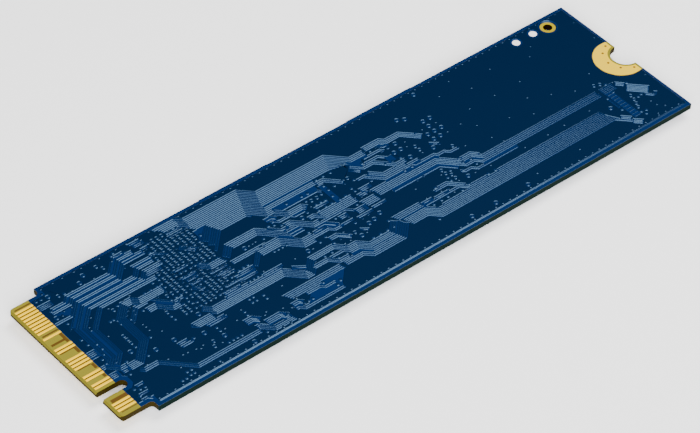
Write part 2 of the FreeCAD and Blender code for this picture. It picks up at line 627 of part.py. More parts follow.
FLASH_FANOUT = [
    (1, BUS, SQUARE, [(-8.7, -7.63), (-7.3, -9.03)]),
    (2, BUS, SQUARE, [(-7.8, -7.7), (-7.05, -8.45)]),
    (3, FINE, SQUARE, [(-7.05, -8.95), (-6.35, -9.65)]),
    (2, BUS, SQUARE, [(-4.35, -3.05), (-3.7, -3.7)]),
    (5, FINE, SQUARE, [(-3.55, -4.1), (-1.85, -5.8)]),
    (1, BUS, SQUARE, [(-2.95, -6.6), (-2.35, -7.2), (-2.05, -7.2), (-1.8, -6.95)]),
    (10, COMB, SQUARE, [(-6.55, -4.1), (-5.75, -4.1)]),
    (1, BUS, SQUARE, [(-6.9, -4.6), (-6.9, -6.4)]),
    (4, BUS, SQUARE, [(-6.6, -2.88), (-4.9, -2.88)]),
]
TRACK_GROUPS = [
    ("host_link_tracks", HOST_LINK),
    ("controller_fanout_tracks", CONTROLLER_FANOUT),
    ("upper_bus_tracks", UPPER_BUS),
    ("middle_bus_tracks", MIDDLE_BUS),
    ("lower_bus_tracks", LOWER_BUS),
    ("flash_bus_tracks", FLASH_BUS),
    ("flash_fanout_tracks", FLASH_FANOUT),
]
# Patches with no copper, where the film shows brighter
CLEAR_PATCHES = [
    [(26.6, -7.9), (28.8, -7.2), (31.9, -7.2), (30.3, -8.85), (25.6, -8.85)],
    [(32.6, 5.0), (37.6, 5.0), (37.6, 4.25), (32.6, 4.25)],
    [(37.8, 4.6), (38.6, 4.6), (38.6, 1.3), (37.8, 1.3)],
    [(42.4, 5.6), (43.1, 5.2), (44.6, 5.2), (44.0, 4.3)],
    [(22.6, 7.4), (24.2, 7.4), (22.6, 5.9)],
    [(46.6, 3.6), (47.6, 3.6), (47.6, 2.6), (46.6, 2.6)],
    [(53.2, -2.2), (54.4, -2.2), (54.9, -2.6), (53.6, -2.6)],
    [(43.9, -0.7), (50.7, -0.7), (52.5, -2.5), (52.1, -2.7), (50.4, -1.05), (43.9, -1.05)],
    [(3.76, 3.43), (3.93, 3.43), (6.4, 5.9), (12.1, 5.9), (12.1, 6.17), (6.5, 6.17)],
    [(4.2, 2.85), (4.4, 2.85), (6.65, 5.1), (13.6, 5.1), (13.6, 5.4), (6.75, 5.4)],
    [(6.2, 6.72), (12.0, 6.72), (12.0, 7.04), (6.4, 7.04)],
    [(54.7, -4.1), (59.7, -4.1), (59.7, -3.78), (54.7, -3.78)],
    [(4.85, -2.45), (5.2, -2.45), (5.2, 2.0), (4.85, 2.0)],
    [(25.6, -9.0), (30.3, -9.0), (30.3, -8.8), (25.6, -8.8)],
    [(12.75, 1.15), (12.98, 1.37), (14.43, -0.08), (14.2, -0.3)],
    [(44.3, 0.5), (47.1, 0.5), (47.1, 0.75), (44.3, 0.75)],
    [(48.5, 0.25), (51.1, 0.25), (51.45, -0.1), (51.7, 0.05), (51.3, 0.5), (48.5, 0.5)],
    [(33.9, -5.9), (35.1, -5.9), (36.1, -6.9), (35.9, -7.05), (34.95, -6.25), (33.9, -6.25)],
    [(31.1, 5.75), (38.1, 5.75), (38.1, 5.9), (31.1, 5.9)],
    [(29.4, 0.95), (29.6, 1.05), (30.72, -0.07), (30.5, -0.2)],
    [(11.7, 7.6), (11.85, 7.62), (13.5, 9.22), (14.7, 9.22), (14.7, 9.4), (13.42, 9.4)],
    [(48.6, 0.75), (49.55, 0.75), (49.55, 1.0), (48.6, 1.0)],
    [(73.3, -3.95), (74.4, -3.95), (74.4, -3.8), (73.3, -3.8)],
    [(13.6, 8.55), (15.65, 8.55), (15.65, 8.65), (13.6, 8.65)],
    [(42.5, 5.75), (45.4, 5.35), (45.4, 5.1), (43.0, 5.1)],
    [(42.25, 5.5), (42.6, 5.55), (44.15, 4.3), (43.9, 4.1)],
]


def directions(points):
    """Unit direction of each run of a route."""
    result = []
    for (x0, y0), (x1, y1) in zip(points, points[1:]):
        run = math.hypot(x1 - x0, y1 - y0)
        result.append(((x1 - x0) / run, (y1 - y0) / run))
    return result


def beside(points, distance, slant, reach=0.0):
    """Route that lies a distance to the right, with mitred bends, ends that slide and reach further."""
    ways = directions(points)
    result = []
    for number, (x, y) in enumerate(points):
        if 0 < number < len(points) - 1:
            (ax, ay), (bx, by) = ways[number - 1], ways[number]
            share = distance / (1 + ax * bx + ay * by)
            result.append((x + (ay + by) * share, y - (ax + bx) * share))
            continue
        first = number == 0
        ux, uy = ways[0] if first else ways[-1]
        slide = distance * slant[0] - reach if first else distance * slant[1] + reach
        result.append((x + uy * distance + ux * slide, y - ux * distance + uy * slide))
    return result


def on_card(route):
    """Route in the frame of the drive."""
    return [(station(along), row(across)) for along, across in route]


def strip(route, left, right, slant, reach):
    """Outline of a strip along a route, from a distance on its left to one on its right."""
    return beside(route, -left, slant, reach) + beside(route, right, slant, reach)[::-1]


def track_outlines(bundles):
    """Outline of every track of a list of bundles."""
    half = size("track_width") / 2
    outlines = []
    for count, pitch, slant, route in bundles:
        for number in range(count):
            outlines.append(strip(beside(on_card(route), number * pitch, slant), half, half, SQUARE, 0.0))
    return outlines


def channel_outline(bundle):
    """Outline of the channel that the ground copper leaves for a bundle."""
    count, pitch, slant, route = bundle
    room = size("track_width") / 2 + size("track_clearance")
    return strip(on_card(route), room, (count - 1) * pitch + room, slant, size("track_clearance"))


for label, bundles in TRACK_GROUPS:
    raise_outlines(label, track_outlines(bundles), film_top, "sizes.copper_thickness")

# Ground copper fills the rest of the bare face, inside a margin along the edges and round the key slot.
margin = size("edge_margin")
tongue_start = station(size("mask_start")) + size("track_clearance")
tongue_side = tongue_width / 2 - margin
ground_start = station(size("tongue_length")) + margin
ground_end = card_end - size("end_margin")
ground_side = half_width - margin
ground = outline_face([(tongue_start, -tongue_side), (ground_start, -tongue_side), (ground_start, -ground_side),
                       (ground_end, -ground_side), (ground_end, ground_side), (ground_start, ground_side),
                       (ground_start, tongue_side), (tongue_start, tongue_side)], film_top)
key_row = -KEY_STEPS * pin_step
key_side = size("key_width") / 2 + margin
key_end = station(size("key_depth")) + margin
key_corner = key_end - key_side / 2
key_clearing = outline_face([(tongue_start - margin, key_row - key_side), (key_corner, key_row - key_side),
                             (key_end, key_row - key_side / 2), (key_end, key_row + key_side / 2),
                             (key_corner, key_row + key_side), (tongue_start - margin, key_row + key_side)],
                            film_top)
cuts = [outline_face(channel_outline(bundle), film_top) for name, bundles in TRACK_GROUPS for bundle in bundles]
cuts += [outline_face(on_card(patch), film_top) for patch in CLEAR_PATCHES]
cuts.append(key_clearing)


def round_clearing(along, across, radius):
    """Clearing with chamfered corners round a round pad, hidden under the pad's mask."""
    sides = 12
    reach = (radius + size("mask_clearance")) / math.cos(math.pi / sides)
    turns = [2 * math.pi * (number + 0.5) / sides for number in range(sides)]
    return outline_face([(along + reach * math.cos(a), across + reach * math.sin(a)) for a in turns], film_top)


cuts.append(round_clearing(card_end - size("notch_pad_inset"), 0, size("notch_pad_radius")))
cuts.append(round_clearing(card_end - size("hole_from_end"), half_width - size("hole_from_edge"),
                           size("hole_radius") + size("hole_ring_width")))
for number in range(2):
    cuts.append(round_clearing(card_end - size("test_pad_from_end") - number * size("test_pad_spacing"),
                               half_width - size("test_pad_from_edge"), size("test_pad_radius")))
cleared = ground.cut(cuts).removeSplitter()
islands = [face for face in cleared.Faces if face.Area > size("smallest_island")]
ground_flat = doc.addObject("Part::Feature", "ground_copper_outlines")
ground_flat.Shape = Part.makeCompound(islands)
extrude("ground_copper_bare_side", ground_flat, "sizes.copper_thickness")


# Chip packages, each with its solder balls

def ball_places(length, width, pitch):
    """Places of the outer rows of balls along the two long sides of a package."""
    across_count = int((width - pitch) / pitch)
    along_count = int((length - pitch) / pitch)
    reach = (across_count - 1) / 2 * pitch
    return [((number - (along_count - 1) / 2) * pitch, side * reach)
            for number in range(along_count) for side in (-1, 1)]


def number_in(expression):
    """Value of the driving dimension that an expression names."""
    return size(expression.split(".")[1])


def package(name, length, width, along, across, pitch):
    """Moulded package on its substrate, face down under the card, with its outer solder balls."""
    body = new_body(name + "_package")
    substrate = rectangle(body, name + "_substrate", length, width, "0", "0",
                          "sizes.package_height - sizes.ball_height - sizes.substrate_height")
    pad(body, substrate, "sizes.substrate_height")
    mould_height = "sizes.package_height - sizes.ball_height - sizes.substrate_height"
    mould = rectangle(body, name + "_mould", length + " - 2 * sizes.mould_inset",
                      width + " - 2 * sizes.mould_inset", "0", "0")
    pad(body, mould, mould_height)
    chamfer_edges(body, level_edges(body.Tip.Shape, 0.0), "sizes.mould_edge")
    place(body, along, across, "0")
    doc.recompute()
    centre = body.Placement.Base
    steps = ball_places(number_in(length), number_in(width), number_in(pitch))
    balls = [box_outline(centre.x + dx, centre.y + dy, size("ball_width"), size("ball_width")) for dx, dy in steps]
    raise_outlines(name + "_solder_balls", balls, under_face - size("ball_height"), "sizes.ball_height")


# The memory follows the controller by a gap, and the middle flash stands midway between its neighbours.
CONTROLLER_ALONG = CARD_START + " + sizes.controller_from_edge"
MEMORY_ALONG = CONTROLLER_ALONG + " + (sizes.controller_length + sizes.memory_length) / 2 + sizes.package_gap"
FAR_FLASH_ALONG = CARD_END + " - sizes.far_flash_from_end"
MIDDLE_FLASH_ALONG = "(%s + sizes.memory_length / 2 + %s - sizes.flash_length / 2) / 2" % (
    MEMORY_ALONG, FAR_FLASH_ALONG)
package("controller", "sizes.controller_length", "sizes.controller_width", CONTROLLER_ALONG,
        ACROSS + "sizes.controller_across", "sizes.controller_ball_pitch")
package("memory", "sizes.memory_length", "sizes.memory_width", MEMORY_ALONG,
        ACROSS + "sizes.memory_across", "sizes.memory_ball_pitch")
package("middle_flash", "sizes.flash_length", "sizes.flash_width", MIDDLE_FLASH_ALONG,
        ACROSS + "sizes.flash_across", "sizes.flash_ball_pitch")
package("far_flash", "sizes.flash_length", "sizes.flash_width", FAR_FLASH_ALONG,
        ACROSS + "sizes.flash_across", "sizes.flash_ball_pitch")


# Power supply, clock and start-up chips

def leadless_chip(label, length, width, height, along, across):
    """Moulded chip with no legs, seated on the card with its face down."""
    body = new_body(label)
    pad(body, rectangle(body, label + "_blank", length, width, "0", "0"), height)
    chamfer_edges(body, level_edges(body.Tip.Shape, 0.0), "sizes.mould_edge")
    place(body, along, across, "sizes.package_height - sizes.land_height - " + height)
    doc.recompute()
    return body


def land_rows(centre, length, width, per_side, per_end, pitch):
    """Outlines of solder lands along the sides and ends of a leadless chip."""
    outlines = []
    inside = size("land_length") / 2
    for count, run, along_x in ((per_side, width, True), (per_end, length, False)):
        for number in range(count):
            step = (number - (count - 1) / 2) * pitch
            for side in (-1, 1):
                edge = side * (run / 2 - inside)
                if along_x:
                    outlines.append(box_outline(centre.x + step, centre.y + edge, size("land_width"),
                                                size("land_length")))
                else:
                    outlines.append(box_outline(centre.x + edge, centre.y + step, size("land_length"),
                                                size("land_width")))
    return outlines


power_chip = leadless_chip("power_management_chip", "sizes.power_chip_side", "sizes.power_chip_side",
                           "sizes.power_chip_height", CARD_START + " + sizes.power_chip_from_edge",
                           ACROSS + "sizes.power_chip_across")
raise_outlines("power_chip_lands",
               land_rows(power_chip.Placement.Base, size("power_chip_side"), size("power_chip_side"), 7, 7,
                         size("land_pitch")),
               under_face - size("land_height"), "sizes.land_height")
boot_chip = leadless_chip("boot_flash_chip", "sizes.boot_chip_length", "sizes.boot_chip_width",
                          "sizes.boot_chip_height", CARD_START + " + sizes.boot_chip_from_edge",
                          ACROSS + "sizes.boot_chip_across")
raise_outlines("boot_chip_lands",
               land_rows(boot_chip.Placement.Base, size("boot_chip_length"), size("boot_chip_width"), 0, 4,
                         size("boot_land_pitch")),
               under_face - size("land_height"), "sizes.land_height")

# The crystal is a ceramic tub closed by a thin metal lid, which faces down.
crystal_base = new_body("crystal_base")
pad(crystal_base, rectangle(crystal_base, "crystal_tub", "sizes.crystal_length", "sizes.crystal_width", "0", "0"),
    "sizes.crystal_base_height")
place(crystal_base, CARD_START + " + sizes.crystal_from_edge", ACROSS + "sizes.crystal_across",
      "sizes.package_height - sizes.crystal_base_height")
crystal_lid = new_body("crystal_lid")
pad(crystal_lid, rectangle(crystal_lid, "crystal_can", "sizes.crystal_length - 2 * sizes.crystal_lid_inset",
                           "sizes.crystal_width - 2 * sizes.crystal_lid_inset", "0", "0"),
    "sizes.crystal_height - sizes.crystal_base_height")
lid_x = size("crystal_length") / 2 - size("crystal_lid_inset")
lid_y = size("crystal_width") / 2 - size("crystal_lid_inset")
lid_corners = [(x, y) for x in (-lid_x, lid_x) for y in (-lid_y, lid_y)]
chamfer_edges(crystal_lid, edges_at(crystal_lid.Shape, lid_corners), "sizes.crystal_corner")
place(crystal_lid, CARD_START + " + sizes.crystal_from_edge", ACROSS + "sizes.crystal_across",
      "sizes.package_height - sizes.crystal_height")

# The small regulator has a tapered body on five bent leads.
regulator = new_body("voltage_regulator")
REGULATOR_HEIGHT = "sizes.regulator_height - sizes.regulator_standoff"
regulator_face = rectangle(regulator, "regulator_face", "sizes.regulator_length - 2 * sizes.regulator_draft",
                           "sizes.regulator_width - 2 * sizes.regulator_draft", "0", "0")
regulator_seat = rectangle(regulator, "regulator_seat", "sizes.regulator_length", "sizes.regulator_width", "0",
                           "0", REGULATOR_HEIGHT)
taper = regulator.newObject("PartDesign::AdditiveLoft", "regulator_taper")
taper.Profile = regulator_face
taper.Sections = [regulator_seat]
place(regulator, CARD_START + " + sizes.regulator_from_edge", ACROSS + "sizes.regulator_across",
      "sizes.package_height - sizes.regulator_height")
doc.recompute()


def bent_lead(along, across, side):
    """One lead: a foot on the card, a rise beside the body and a stub into its side."""
    top = under_face
    gauge = size("lead_thickness")
    level = top - size("regulator_height") / 2
    outer = size("lead_reach")
    foot = outer - size("lead_foot")
    profile = [(0, level), (foot, level), (foot, top - gauge), (outer, top - gauge), (outer, top),
               (foot - gauge, top), (foot - gauge, level + gauge), (0, level + gauge)]
    # The body tapers, so the stub starts where its side is at that height.
    share = (level - (top - size("regulator_height"))) / (size("regulator_height") - size("regulator_standoff"))
    start = size("regulator_width") / 2 - size("regulator_draft") * (1 - share)
    points = [FreeCAD.Vector(along - size("lead_width") / 2, across + side * (start + y), z) for y, z in profile]
    face = Part.Face(Part.makePolygon(points + points[:1]))
    return face.extrude(FreeCAD.Vector(size("lead_width"), 0, 0))


base = regulator.Placement.Base
leads = [bent_lead(base.x + step * size("lead_pitch"), base.y, side)
         for side, steps in ((1, (-1, 1)), (-1, (-1, 0, 1))) for step in steps]
regulator_leads = doc.addObject("Part::Feature", "regulator_leads")
regulator_leads.Label = "regulator_leads"
regulator_leads.Shape = Part.makeCompound([lead.cut(regulator.Shape) for lead in leads])
subparts.append(regulator_leads)


# Small parts with two metal ends, in rows: place of the first, count, and step to the next

def row_places(rows):
    """Centre of every part in a list of rows."""
    places = []
    for along, across, count, (step_x, step_y) in rows:
        for number in range(count):
            places.append((station(along) + number * step_x, row(across + number * step_y)))
    return places


def two_ended(rows, length, width, cap, turned):
    """Parts with a block between two metal end caps: one node for the blocks and one for the caps."""
    skin = size("cap_skin")
    blocks = []
    caps = []
    for x, y in row_places(rows):
        middle = length - 2 * cap
        reach = (length - cap) / 2
        if turned:
            blocks.append(box_outline(x, y, width - 2 * skin, middle))
            caps += [box_outline(x, y + side * reach, width, cap) for side in (-1, 1)]
        else:
            blocks.append(box_outline(x, y, middle, width - 2 * skin))
            caps += [box_outline(x + side * reach, y, cap, width) for side in (-1, 1)]
    return blocks, caps


def raise_two_ended(label, groups, length, width, height, cap):
    """Raise the blocks and caps of like parts, some along the card and some turned across it."""
    blocks = []
    caps = []
    for rows, turned in groups:
        new_blocks, new_caps = two_ended(rows, size(length), size(width), size(cap), turned)
        blocks += new_blocks
        caps += new_caps
    level = under_face - size(height)
    raise_outlines(label, blocks, level + size("cap_skin"), "sizes.%s - 2 * sizes.cap_skin" % height)
    raise_outlines(label + "_ends", caps, level, "sizes.%s" % height)


STEP = size("small_width") + 0.35
raise_two_ended("small_capacitors", [
    ([(5.3, 7.2, 4, (0, -STEP)), (5.3, 2.6, 4, (0, -STEP))], False),
    ([(57.0, 7.8, 5, (1.4, 0)), (38.6, 8.0, 5, (1.4, 0)), (38.6, -8.6, 5, (1.4, 0))], True),
], "small_length", "small_width", "small_height", "small_cap")
raise_two_ended("chip_resistors", [
    ([(7.6, 1.6, 4, (0, -STEP)), (9.6, 1.6, 4, (0, -STEP))], False),
    ([(28.4, 9.0, 5, (1.2, 0))], True),
], "small_length", "small_width", "resistor_height", "small_cap")
raise_two_ended("large_capacitors", [
    ([(5.9, -9.2, 1, (0, 0)), (8.6, -9.2, 3, (2.6, 0)), (26.6, -7.2, 2, (0, -1.9))], False),
    ([(31.0, -7.6, 3, (1.9, 0))], True),
], "large_length", "large_width", "large_height", "large_cap")

inductor_places = [(5.9, -6.8), (15.3, -5.4), (15.3, -8.2)]
inductors = []
for number, (along, across) in enumerate(inductor_places):
    core = doc.addObject("PartDesign::Body", "inductor_core_%d" % number)
    blank = rectangle(core, "inductor_blank_%d" % number, "sizes.inductor_length - 2 * sizes.inductor_terminal",
                      "sizes.inductor_width", "0", "0")
    pad(core, blank, "sizes.inductor_height")
    chamfer_edges(core, level_edges(core.Tip.Shape, 0.0), "sizes.inductor_edge")
    place(core, "%s + %s" % (CARD_START, along), ACROSS + str(across),
          "sizes.package_height - sizes.inductor_height")
    inductors.append(core)
inductor_group = doc.addObject("Part::Compound", "power_inductors")
inductor_group.Label = "power_inductors"
inductor_group.Links = inductors
subparts.append(inductor_group)
terminal_reach = (size("inductor_length") - size("inductor_terminal")) / 2
raise_outlines("inductor_terminals",
               [box_outline(station(along) + side * terminal_reach, row(across), size("inductor_terminal"),
                            size("inductor_width"))
                for along, across in inductor_places for side in (-1, 1)],
               under_face - size("inductor_height"), "sizes.inductor_height")

doc.recompute()
os.makedirs("parts", exist_ok=True)
for item in doc.Objects:
    if "Invalid" in item.State or "Error" in item.State:
        raise RuntimeError("%s failed: %s" % (item.Name, item.State))
for piece in subparts:
    if piece.Shape.isNull() or not piece.Shape.isValid():
        raise RuntimeError("%s has no valid shape" % piece.Label)
for piece in subparts:
    piece.Shape.exportStep(os.path.join("parts", piece.Label + ".step"))
    print(piece.Label, len(piece.Shape.Solids), "solids", round(piece.Shape.Volume, 4), "mm3")
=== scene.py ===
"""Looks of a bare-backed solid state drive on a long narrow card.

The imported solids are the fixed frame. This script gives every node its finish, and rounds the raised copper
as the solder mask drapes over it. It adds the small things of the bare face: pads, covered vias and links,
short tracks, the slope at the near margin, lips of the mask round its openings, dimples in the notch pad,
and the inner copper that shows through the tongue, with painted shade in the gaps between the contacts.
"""

import logging
import math
from contextlib import contextmanager
from dataclasses import dataclass, field
from enum import Enum
from functools import cache
from typing import Callable, Iterable, Iterator

import bpy
from mathutils import Matrix, Vector
from mathutils.bvhtree import BVHTree
from mathutils.geometry import intersect_point_line


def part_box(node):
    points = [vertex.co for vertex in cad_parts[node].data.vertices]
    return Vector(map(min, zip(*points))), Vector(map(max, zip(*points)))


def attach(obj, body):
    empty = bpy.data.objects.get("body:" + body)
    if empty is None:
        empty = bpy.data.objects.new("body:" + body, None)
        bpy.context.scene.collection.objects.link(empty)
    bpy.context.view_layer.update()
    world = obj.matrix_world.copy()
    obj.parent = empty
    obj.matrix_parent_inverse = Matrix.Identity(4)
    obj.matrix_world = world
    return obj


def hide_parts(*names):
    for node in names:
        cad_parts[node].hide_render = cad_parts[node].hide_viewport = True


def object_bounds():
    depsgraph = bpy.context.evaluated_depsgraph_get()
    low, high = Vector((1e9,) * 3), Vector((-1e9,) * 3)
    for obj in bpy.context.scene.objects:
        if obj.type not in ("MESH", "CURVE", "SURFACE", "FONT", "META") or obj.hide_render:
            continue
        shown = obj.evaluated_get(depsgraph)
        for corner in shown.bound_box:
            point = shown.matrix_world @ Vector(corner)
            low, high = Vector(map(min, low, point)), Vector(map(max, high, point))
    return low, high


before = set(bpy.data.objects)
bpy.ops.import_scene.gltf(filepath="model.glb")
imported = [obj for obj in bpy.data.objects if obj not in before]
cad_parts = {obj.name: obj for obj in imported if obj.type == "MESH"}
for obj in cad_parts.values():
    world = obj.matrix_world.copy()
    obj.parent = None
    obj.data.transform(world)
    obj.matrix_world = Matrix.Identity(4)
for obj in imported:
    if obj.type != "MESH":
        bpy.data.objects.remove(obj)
CAD_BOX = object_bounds()

LOG = logging.getLogger("drive")
Piece = bpy.types.Object
Point = tuple[float, float]
Colour = tuple[float, float, float]
Steps = tuple[tuple[float, float], ...]


# Shared measures, in millimetres where nothing else is said

MM = 0.001  # a millimetre in metres
TOLERANCE = 0.01
CUTTER_LENGTH = 0.2  # reaches through one layer of the card
CARD_MIDDLE = 40.0  # from the card edge
MERGE_METRES = 2e-7  # points closer than this are one point
LEVEL_NORMAL = 0.9  # least upward or downward part of a level face's normal
FLAT_DEGREES = 1.0  # faces that turn less are one face
SHARP_DEGREES = 30.0  # edges that turn more are sharp
ROUNDING_DEGREES = 40.0  # edges that turn less are shaded smooth on a rounded piece
SWELLING_DEGREES = 70.0  # and on a swelling


# Places on the card

FILMS = ("solder_mask_bare_side", "solder_mask_component_side")
TRACK_NODES = ("host_link_tracks", "controller_fanout_tracks", "upper_bus_tracks", "middle_bus_tracks",
               "lower_bus_tracks", "flash_bus_tracks", "flash_fanout_tracks")
GROUND_NODE = "ground_copper_bare_side"
CARD_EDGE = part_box("board_laminate")[0].x
LAMINATE_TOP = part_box("board_laminate")[1].z
FILM_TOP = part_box("host_link_tracks")[0].z
COPPER_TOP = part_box("host_link_tracks")[1].z


def card(along: float, across: float, level: float) -> Vector:
    """Point in metres for a place in millimetres from the card edge and from the middle line.

    Args:
        along: distance from the card edge.
        across: distance from the middle line.
        level: height in metres, as the frame gives it.

    Returns:
        The point in the frame of the part.
    """
    return Vector((CARD_EDGE + along * MM, across * MM, level))


def at(along: float, across: float, level: float) -> Matrix:
    """Place of a copy on the card."""
    return Matrix.Translation(card(along, across, level))


@cache
def solid_trees(*nodes: str) -> list[BVHTree]:
    """Search trees of nodes of the frame.

    Args:
        nodes: names of the nodes.

    Returns:
        One tree for each node.
    """
    meshes = [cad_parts[node].data for node in nodes]
    return [BVHTree.FromPolygons([point.co for point in mesh.vertices],
                                 [face.vertices for face in mesh.polygons]) for mesh in meshes]


def hit(trees: list[BVHTree], place: Iterable[float]) -> bool:
    """Tell if a place on the card lies on one of the solids."""
    start = card(*place, COPPER_TOP + MM)
    return any(tree.ray_cast(start, Vector((0.0, 0.0, -1.0)))[0] is not None for tree in trees)


def ring(centre: Point, radius: float, count: int) -> list[Point]:
    """Points spaced evenly round a centre."""
    turns = [2 * math.pi * step / count for step in range(count)]
    return [(centre[0] + radius * math.cos(turn), centre[1] + radius * math.sin(turn)) for turn in turns]


def lengthened(course: list[Point], more: float) -> list[Point]:
    """Course drawn out at both ends.

    Args:
        course: points of the course.
        more: how far each end moves out.

    Returns:
        The longer course.
    """
    def beyond(end: Point, inner: Point) -> Point:
        """End moved away from its neighbour."""
        run = math.dist(end, inner)
        return end[0] + (end[0] - inner[0]) / run * more, end[1] + (end[1] - inner[1]) / run * more
    return [beyond(course[0], course[1])] + course[1:-1] + [beyond(course[-1], course[-2])]


# Modelling on the bench, mostly with operators

def deselect() -> None:
    """Leave object mode's selection empty."""
    if bpy.context.mode != "OBJECT":
        bpy.ops.object.mode_set(mode="OBJECT")
    for item in bpy.context.selected_objects:
        item.select_set(False)


def take(piece: Piece) -> None:
    """Make one piece the only selected one, and active.

    Args:
        piece: the piece that is worked on.
    """
    deselect()
    piece.select_set(True)
    bpy.context.view_layer.objects.active = piece


@contextmanager
def edited(piece: Piece, faces: Callable[[bpy.types.MeshPolygon], bool] | None = None,
           points: Callable[[bpy.types.MeshVertex], bool] | None = None) -> Iterator[None]:
    """Edit mode on the faces or the points of a piece that pass a test, left again at the end.

    Args:
        piece: the piece that is worked on.
        faces: what a face has to pass, where faces are picked.
        points: what a point has to pass, where points are picked.

    Yields:
        Nothing. The operators in the block act on what was picked.
    """
    take(piece)
    mesh = piece.data
    mesh.edges.foreach_set("select", [False] * len(mesh.edges))
    mesh.polygons.foreach_set("select", [bool(faces and faces(face)) for face in mesh.polygons])
    mesh.vertices.foreach_set("select", [bool(points and points(point)) for point in mesh.vertices])
    bpy.ops.object.mode_set(mode="EDIT")
    bpy.ops.mesh.select_mode(type="FACE" if faces else "VERT")
    yield
    bpy.ops.object.mode_set(mode="OBJECT")


def whole(face: bpy.types.MeshPolygon) -> bool:
    """Test that every face passes."""
    return True


def copy_of(node: str, name: str, single_faces: bool = True) -> Piece:
    """Merged copy of a node's mesh.

    Args:
        node: name of the node in the frame.
        name: name of the copy.
        single_faces: make each flat area a single face.

    Returns:
        The copy, which rides on nothing yet.
    """
    piece = bpy.data.objects.new(name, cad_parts[node].data.copy())
    bpy.context.scene.collection.objects.link(piece)
    take(piece)
    if piece.data.has_custom_normals:
        bpy.ops.mesh.customdata_custom_splitnormals_clear()
    bpy.ops.object.mode_set(mode="EDIT")
    bpy.ops.mesh.select_all(action="SELECT")
    bpy.ops.mesh.remove_doubles(threshold=MERGE_METRES)
    if single_faces:
        bpy.ops.mesh.dissolve_limited(angle_limit=math.radians(FLAT_DEGREES))
    bpy.ops.object.mode_set(mode="OBJECT")
    return piece


def settle(piece: Piece) -> None:
    """Put a piece's place into its mesh, so that its object sits at the origin."""
    take(piece)
    bpy.ops.object.transform_apply(location=True, rotation=True, scale=True)


def block(middle: Vector, sides: Iterable[float]) -> Piece:
    """Box with its place in its mesh, by its middle and its sides in metres.

    Args:
        middle: its middle, in metres.
        sides: its sides, in metres.

    Returns:
        The closed box.
    """
    deselect()
    bpy.ops.mesh.primitive_cube_add(size=1.0, scale=tuple(sides), location=middle)
    settle(bpy.context.object)
    return bpy.context.object


def drum(radius: float, height: float, sides: int, middle: Iterable[float] = (0.0, 0.0, 0.0)) -> Piece:
    """Upright cylinder with its place in its mesh.

    Args:
        radius: radius in millimetres.
        height: height in millimetres.
        sides: how many sides it has.
        middle: its middle, in metres.

    Returns:
        The closed cylinder.
    """
    deselect()
    bpy.ops.mesh.primitive_cylinder_add(vertices=sides, radius=radius * MM, depth=height * MM,
                                        location=tuple(middle))
    settle(bpy.context.object)
    return bpy.context.object


def disc(radius: float, sides: int) -> Piece:
    """Flat disc at the origin that faces up, by its radius in millimetres.

    Args:
        radius: radius in millimetres.
        sides: how many sides it has.

    Returns:
        The disc, facing up.
    """
    deselect()
    bpy.ops.mesh.primitive_circle_add(vertices=sides, radius=radius * MM, fill_type="NGON",
                                      location=(0.0, 0.0, 0.0))
    return bpy.context.object


def flat_bar(course: list[Point], width: float, level: float) -> Piece:
    """Flat strip along a course, mitred at its bends.

    Args:
        course: points of the middle line, in millimetres on the card.
        width: width in millimetres.
        level: height of the strip in metres.

    Returns:
        The strip, facing up.
    """
    line = [Vector(point) for point in course]
    ways = [(after - before).normalized() for before, after in zip(line, line[1:])]
    sides = [Vector((way.y, -way.x)) for way in [ways[0]] + ways]
    halves = [sides[0] * width / 2]
    for one, two in zip(sides[1:], sides[2:]):
        halves.append((one + two) * width / 2 / (1 + one.dot(two)))
    halves.append(sides[-1] * width / 2)
    deselect()
    bpy.ops.mesh.primitive_plane_add(size=MM, location=(0.0, 0.0, 0.0))
    piece = bpy.context.object
    corners = [line[0] + halves[0], line[1] + halves[1], line[0] - halves[0], line[1] - halves[1]]
    for point, corner in zip(piece.data.vertices, corners):
        point.co = card(corner.x, corner.y, level)
    right, left = 1, 3
    for here, half in zip(line[2:], halves[2:]):
        count = len(piece.data.vertices)
        with edited(piece, points=lambda point: point.index in (right, left)):
            bpy.ops.mesh.extrude_region_move()
        ends = piece.data.vertices[count], piece.data.vertices[count + 1]
        if (ends[0].co - piece.data.vertices[right].co).length > MERGE_METRES:
            raise RuntimeError("the strip's new ends came in another order")
        for point, corner in zip(ends, (here + half, here - half)):
            point.co = card(corner.x, corner.y, level)
        right, left = count, count + 1
    return piece


def smooth(piece: Piece, angle: float) -> None:
    """Shade a piece smooth except across edges sharper than an angle in degrees."""
    take(piece)
    bpy.ops.object.shade_smooth_by_angle(angle=math.radians(angle))


def rounded(piece: Piece, width: float, segments: int) -> None:
    """Round every sharp edge of a piece.

    Args:
        piece: the piece that is worked on.
        width: width of the rounding in millimetres.
        segments: faces across the rounding.
    """
    take(piece)
    bevel = piece.modifiers.new("round", "BEVEL")
    bevel.width = width * MM
    bevel.segments = segments
    bevel.limit_method = "ANGLE"
    bevel.angle_limit = math.radians(SHARP_DEGREES)
    bpy.ops.object.modifier_apply(modifier=bevel.name)
    smooth(piece, ROUNDING_DEGREES)


def swollen(piece: Piece, steps: Steps) -> Piece:
    """Raise a flat piece inwards from its rim and shade it smooth.

    Args:
        piece: the flat piece.
        steps: insets from the rim, each a width and a rise in millimetres.

    Returns:
        The same piece.
    """
    with edited(piece, faces=whole):
        for width, rise in steps:
            bpy.ops.mesh.inset(thickness=width * MM, depth=rise * MM, use_even_offset=True)
    smooth(piece, SWELLING_DEGREES)
    return piece


def cut(piece: Piece, cutter: Piece) -> None:
    """Cut one solid out of another and remove the cutter.

    Args:
        piece: the solid that stays.
        cutter: the solid that is cut out of it.
    """
    take(piece)
    knife = piece.modifiers.new("cut", "BOOLEAN")
    knife.operation = "DIFFERENCE"
    knife.solver = "EXACT"
    knife.object = cutter
    bpy.ops.object.modifier_apply(modifier=knife.name)
    bpy.data.objects.remove(cutter)


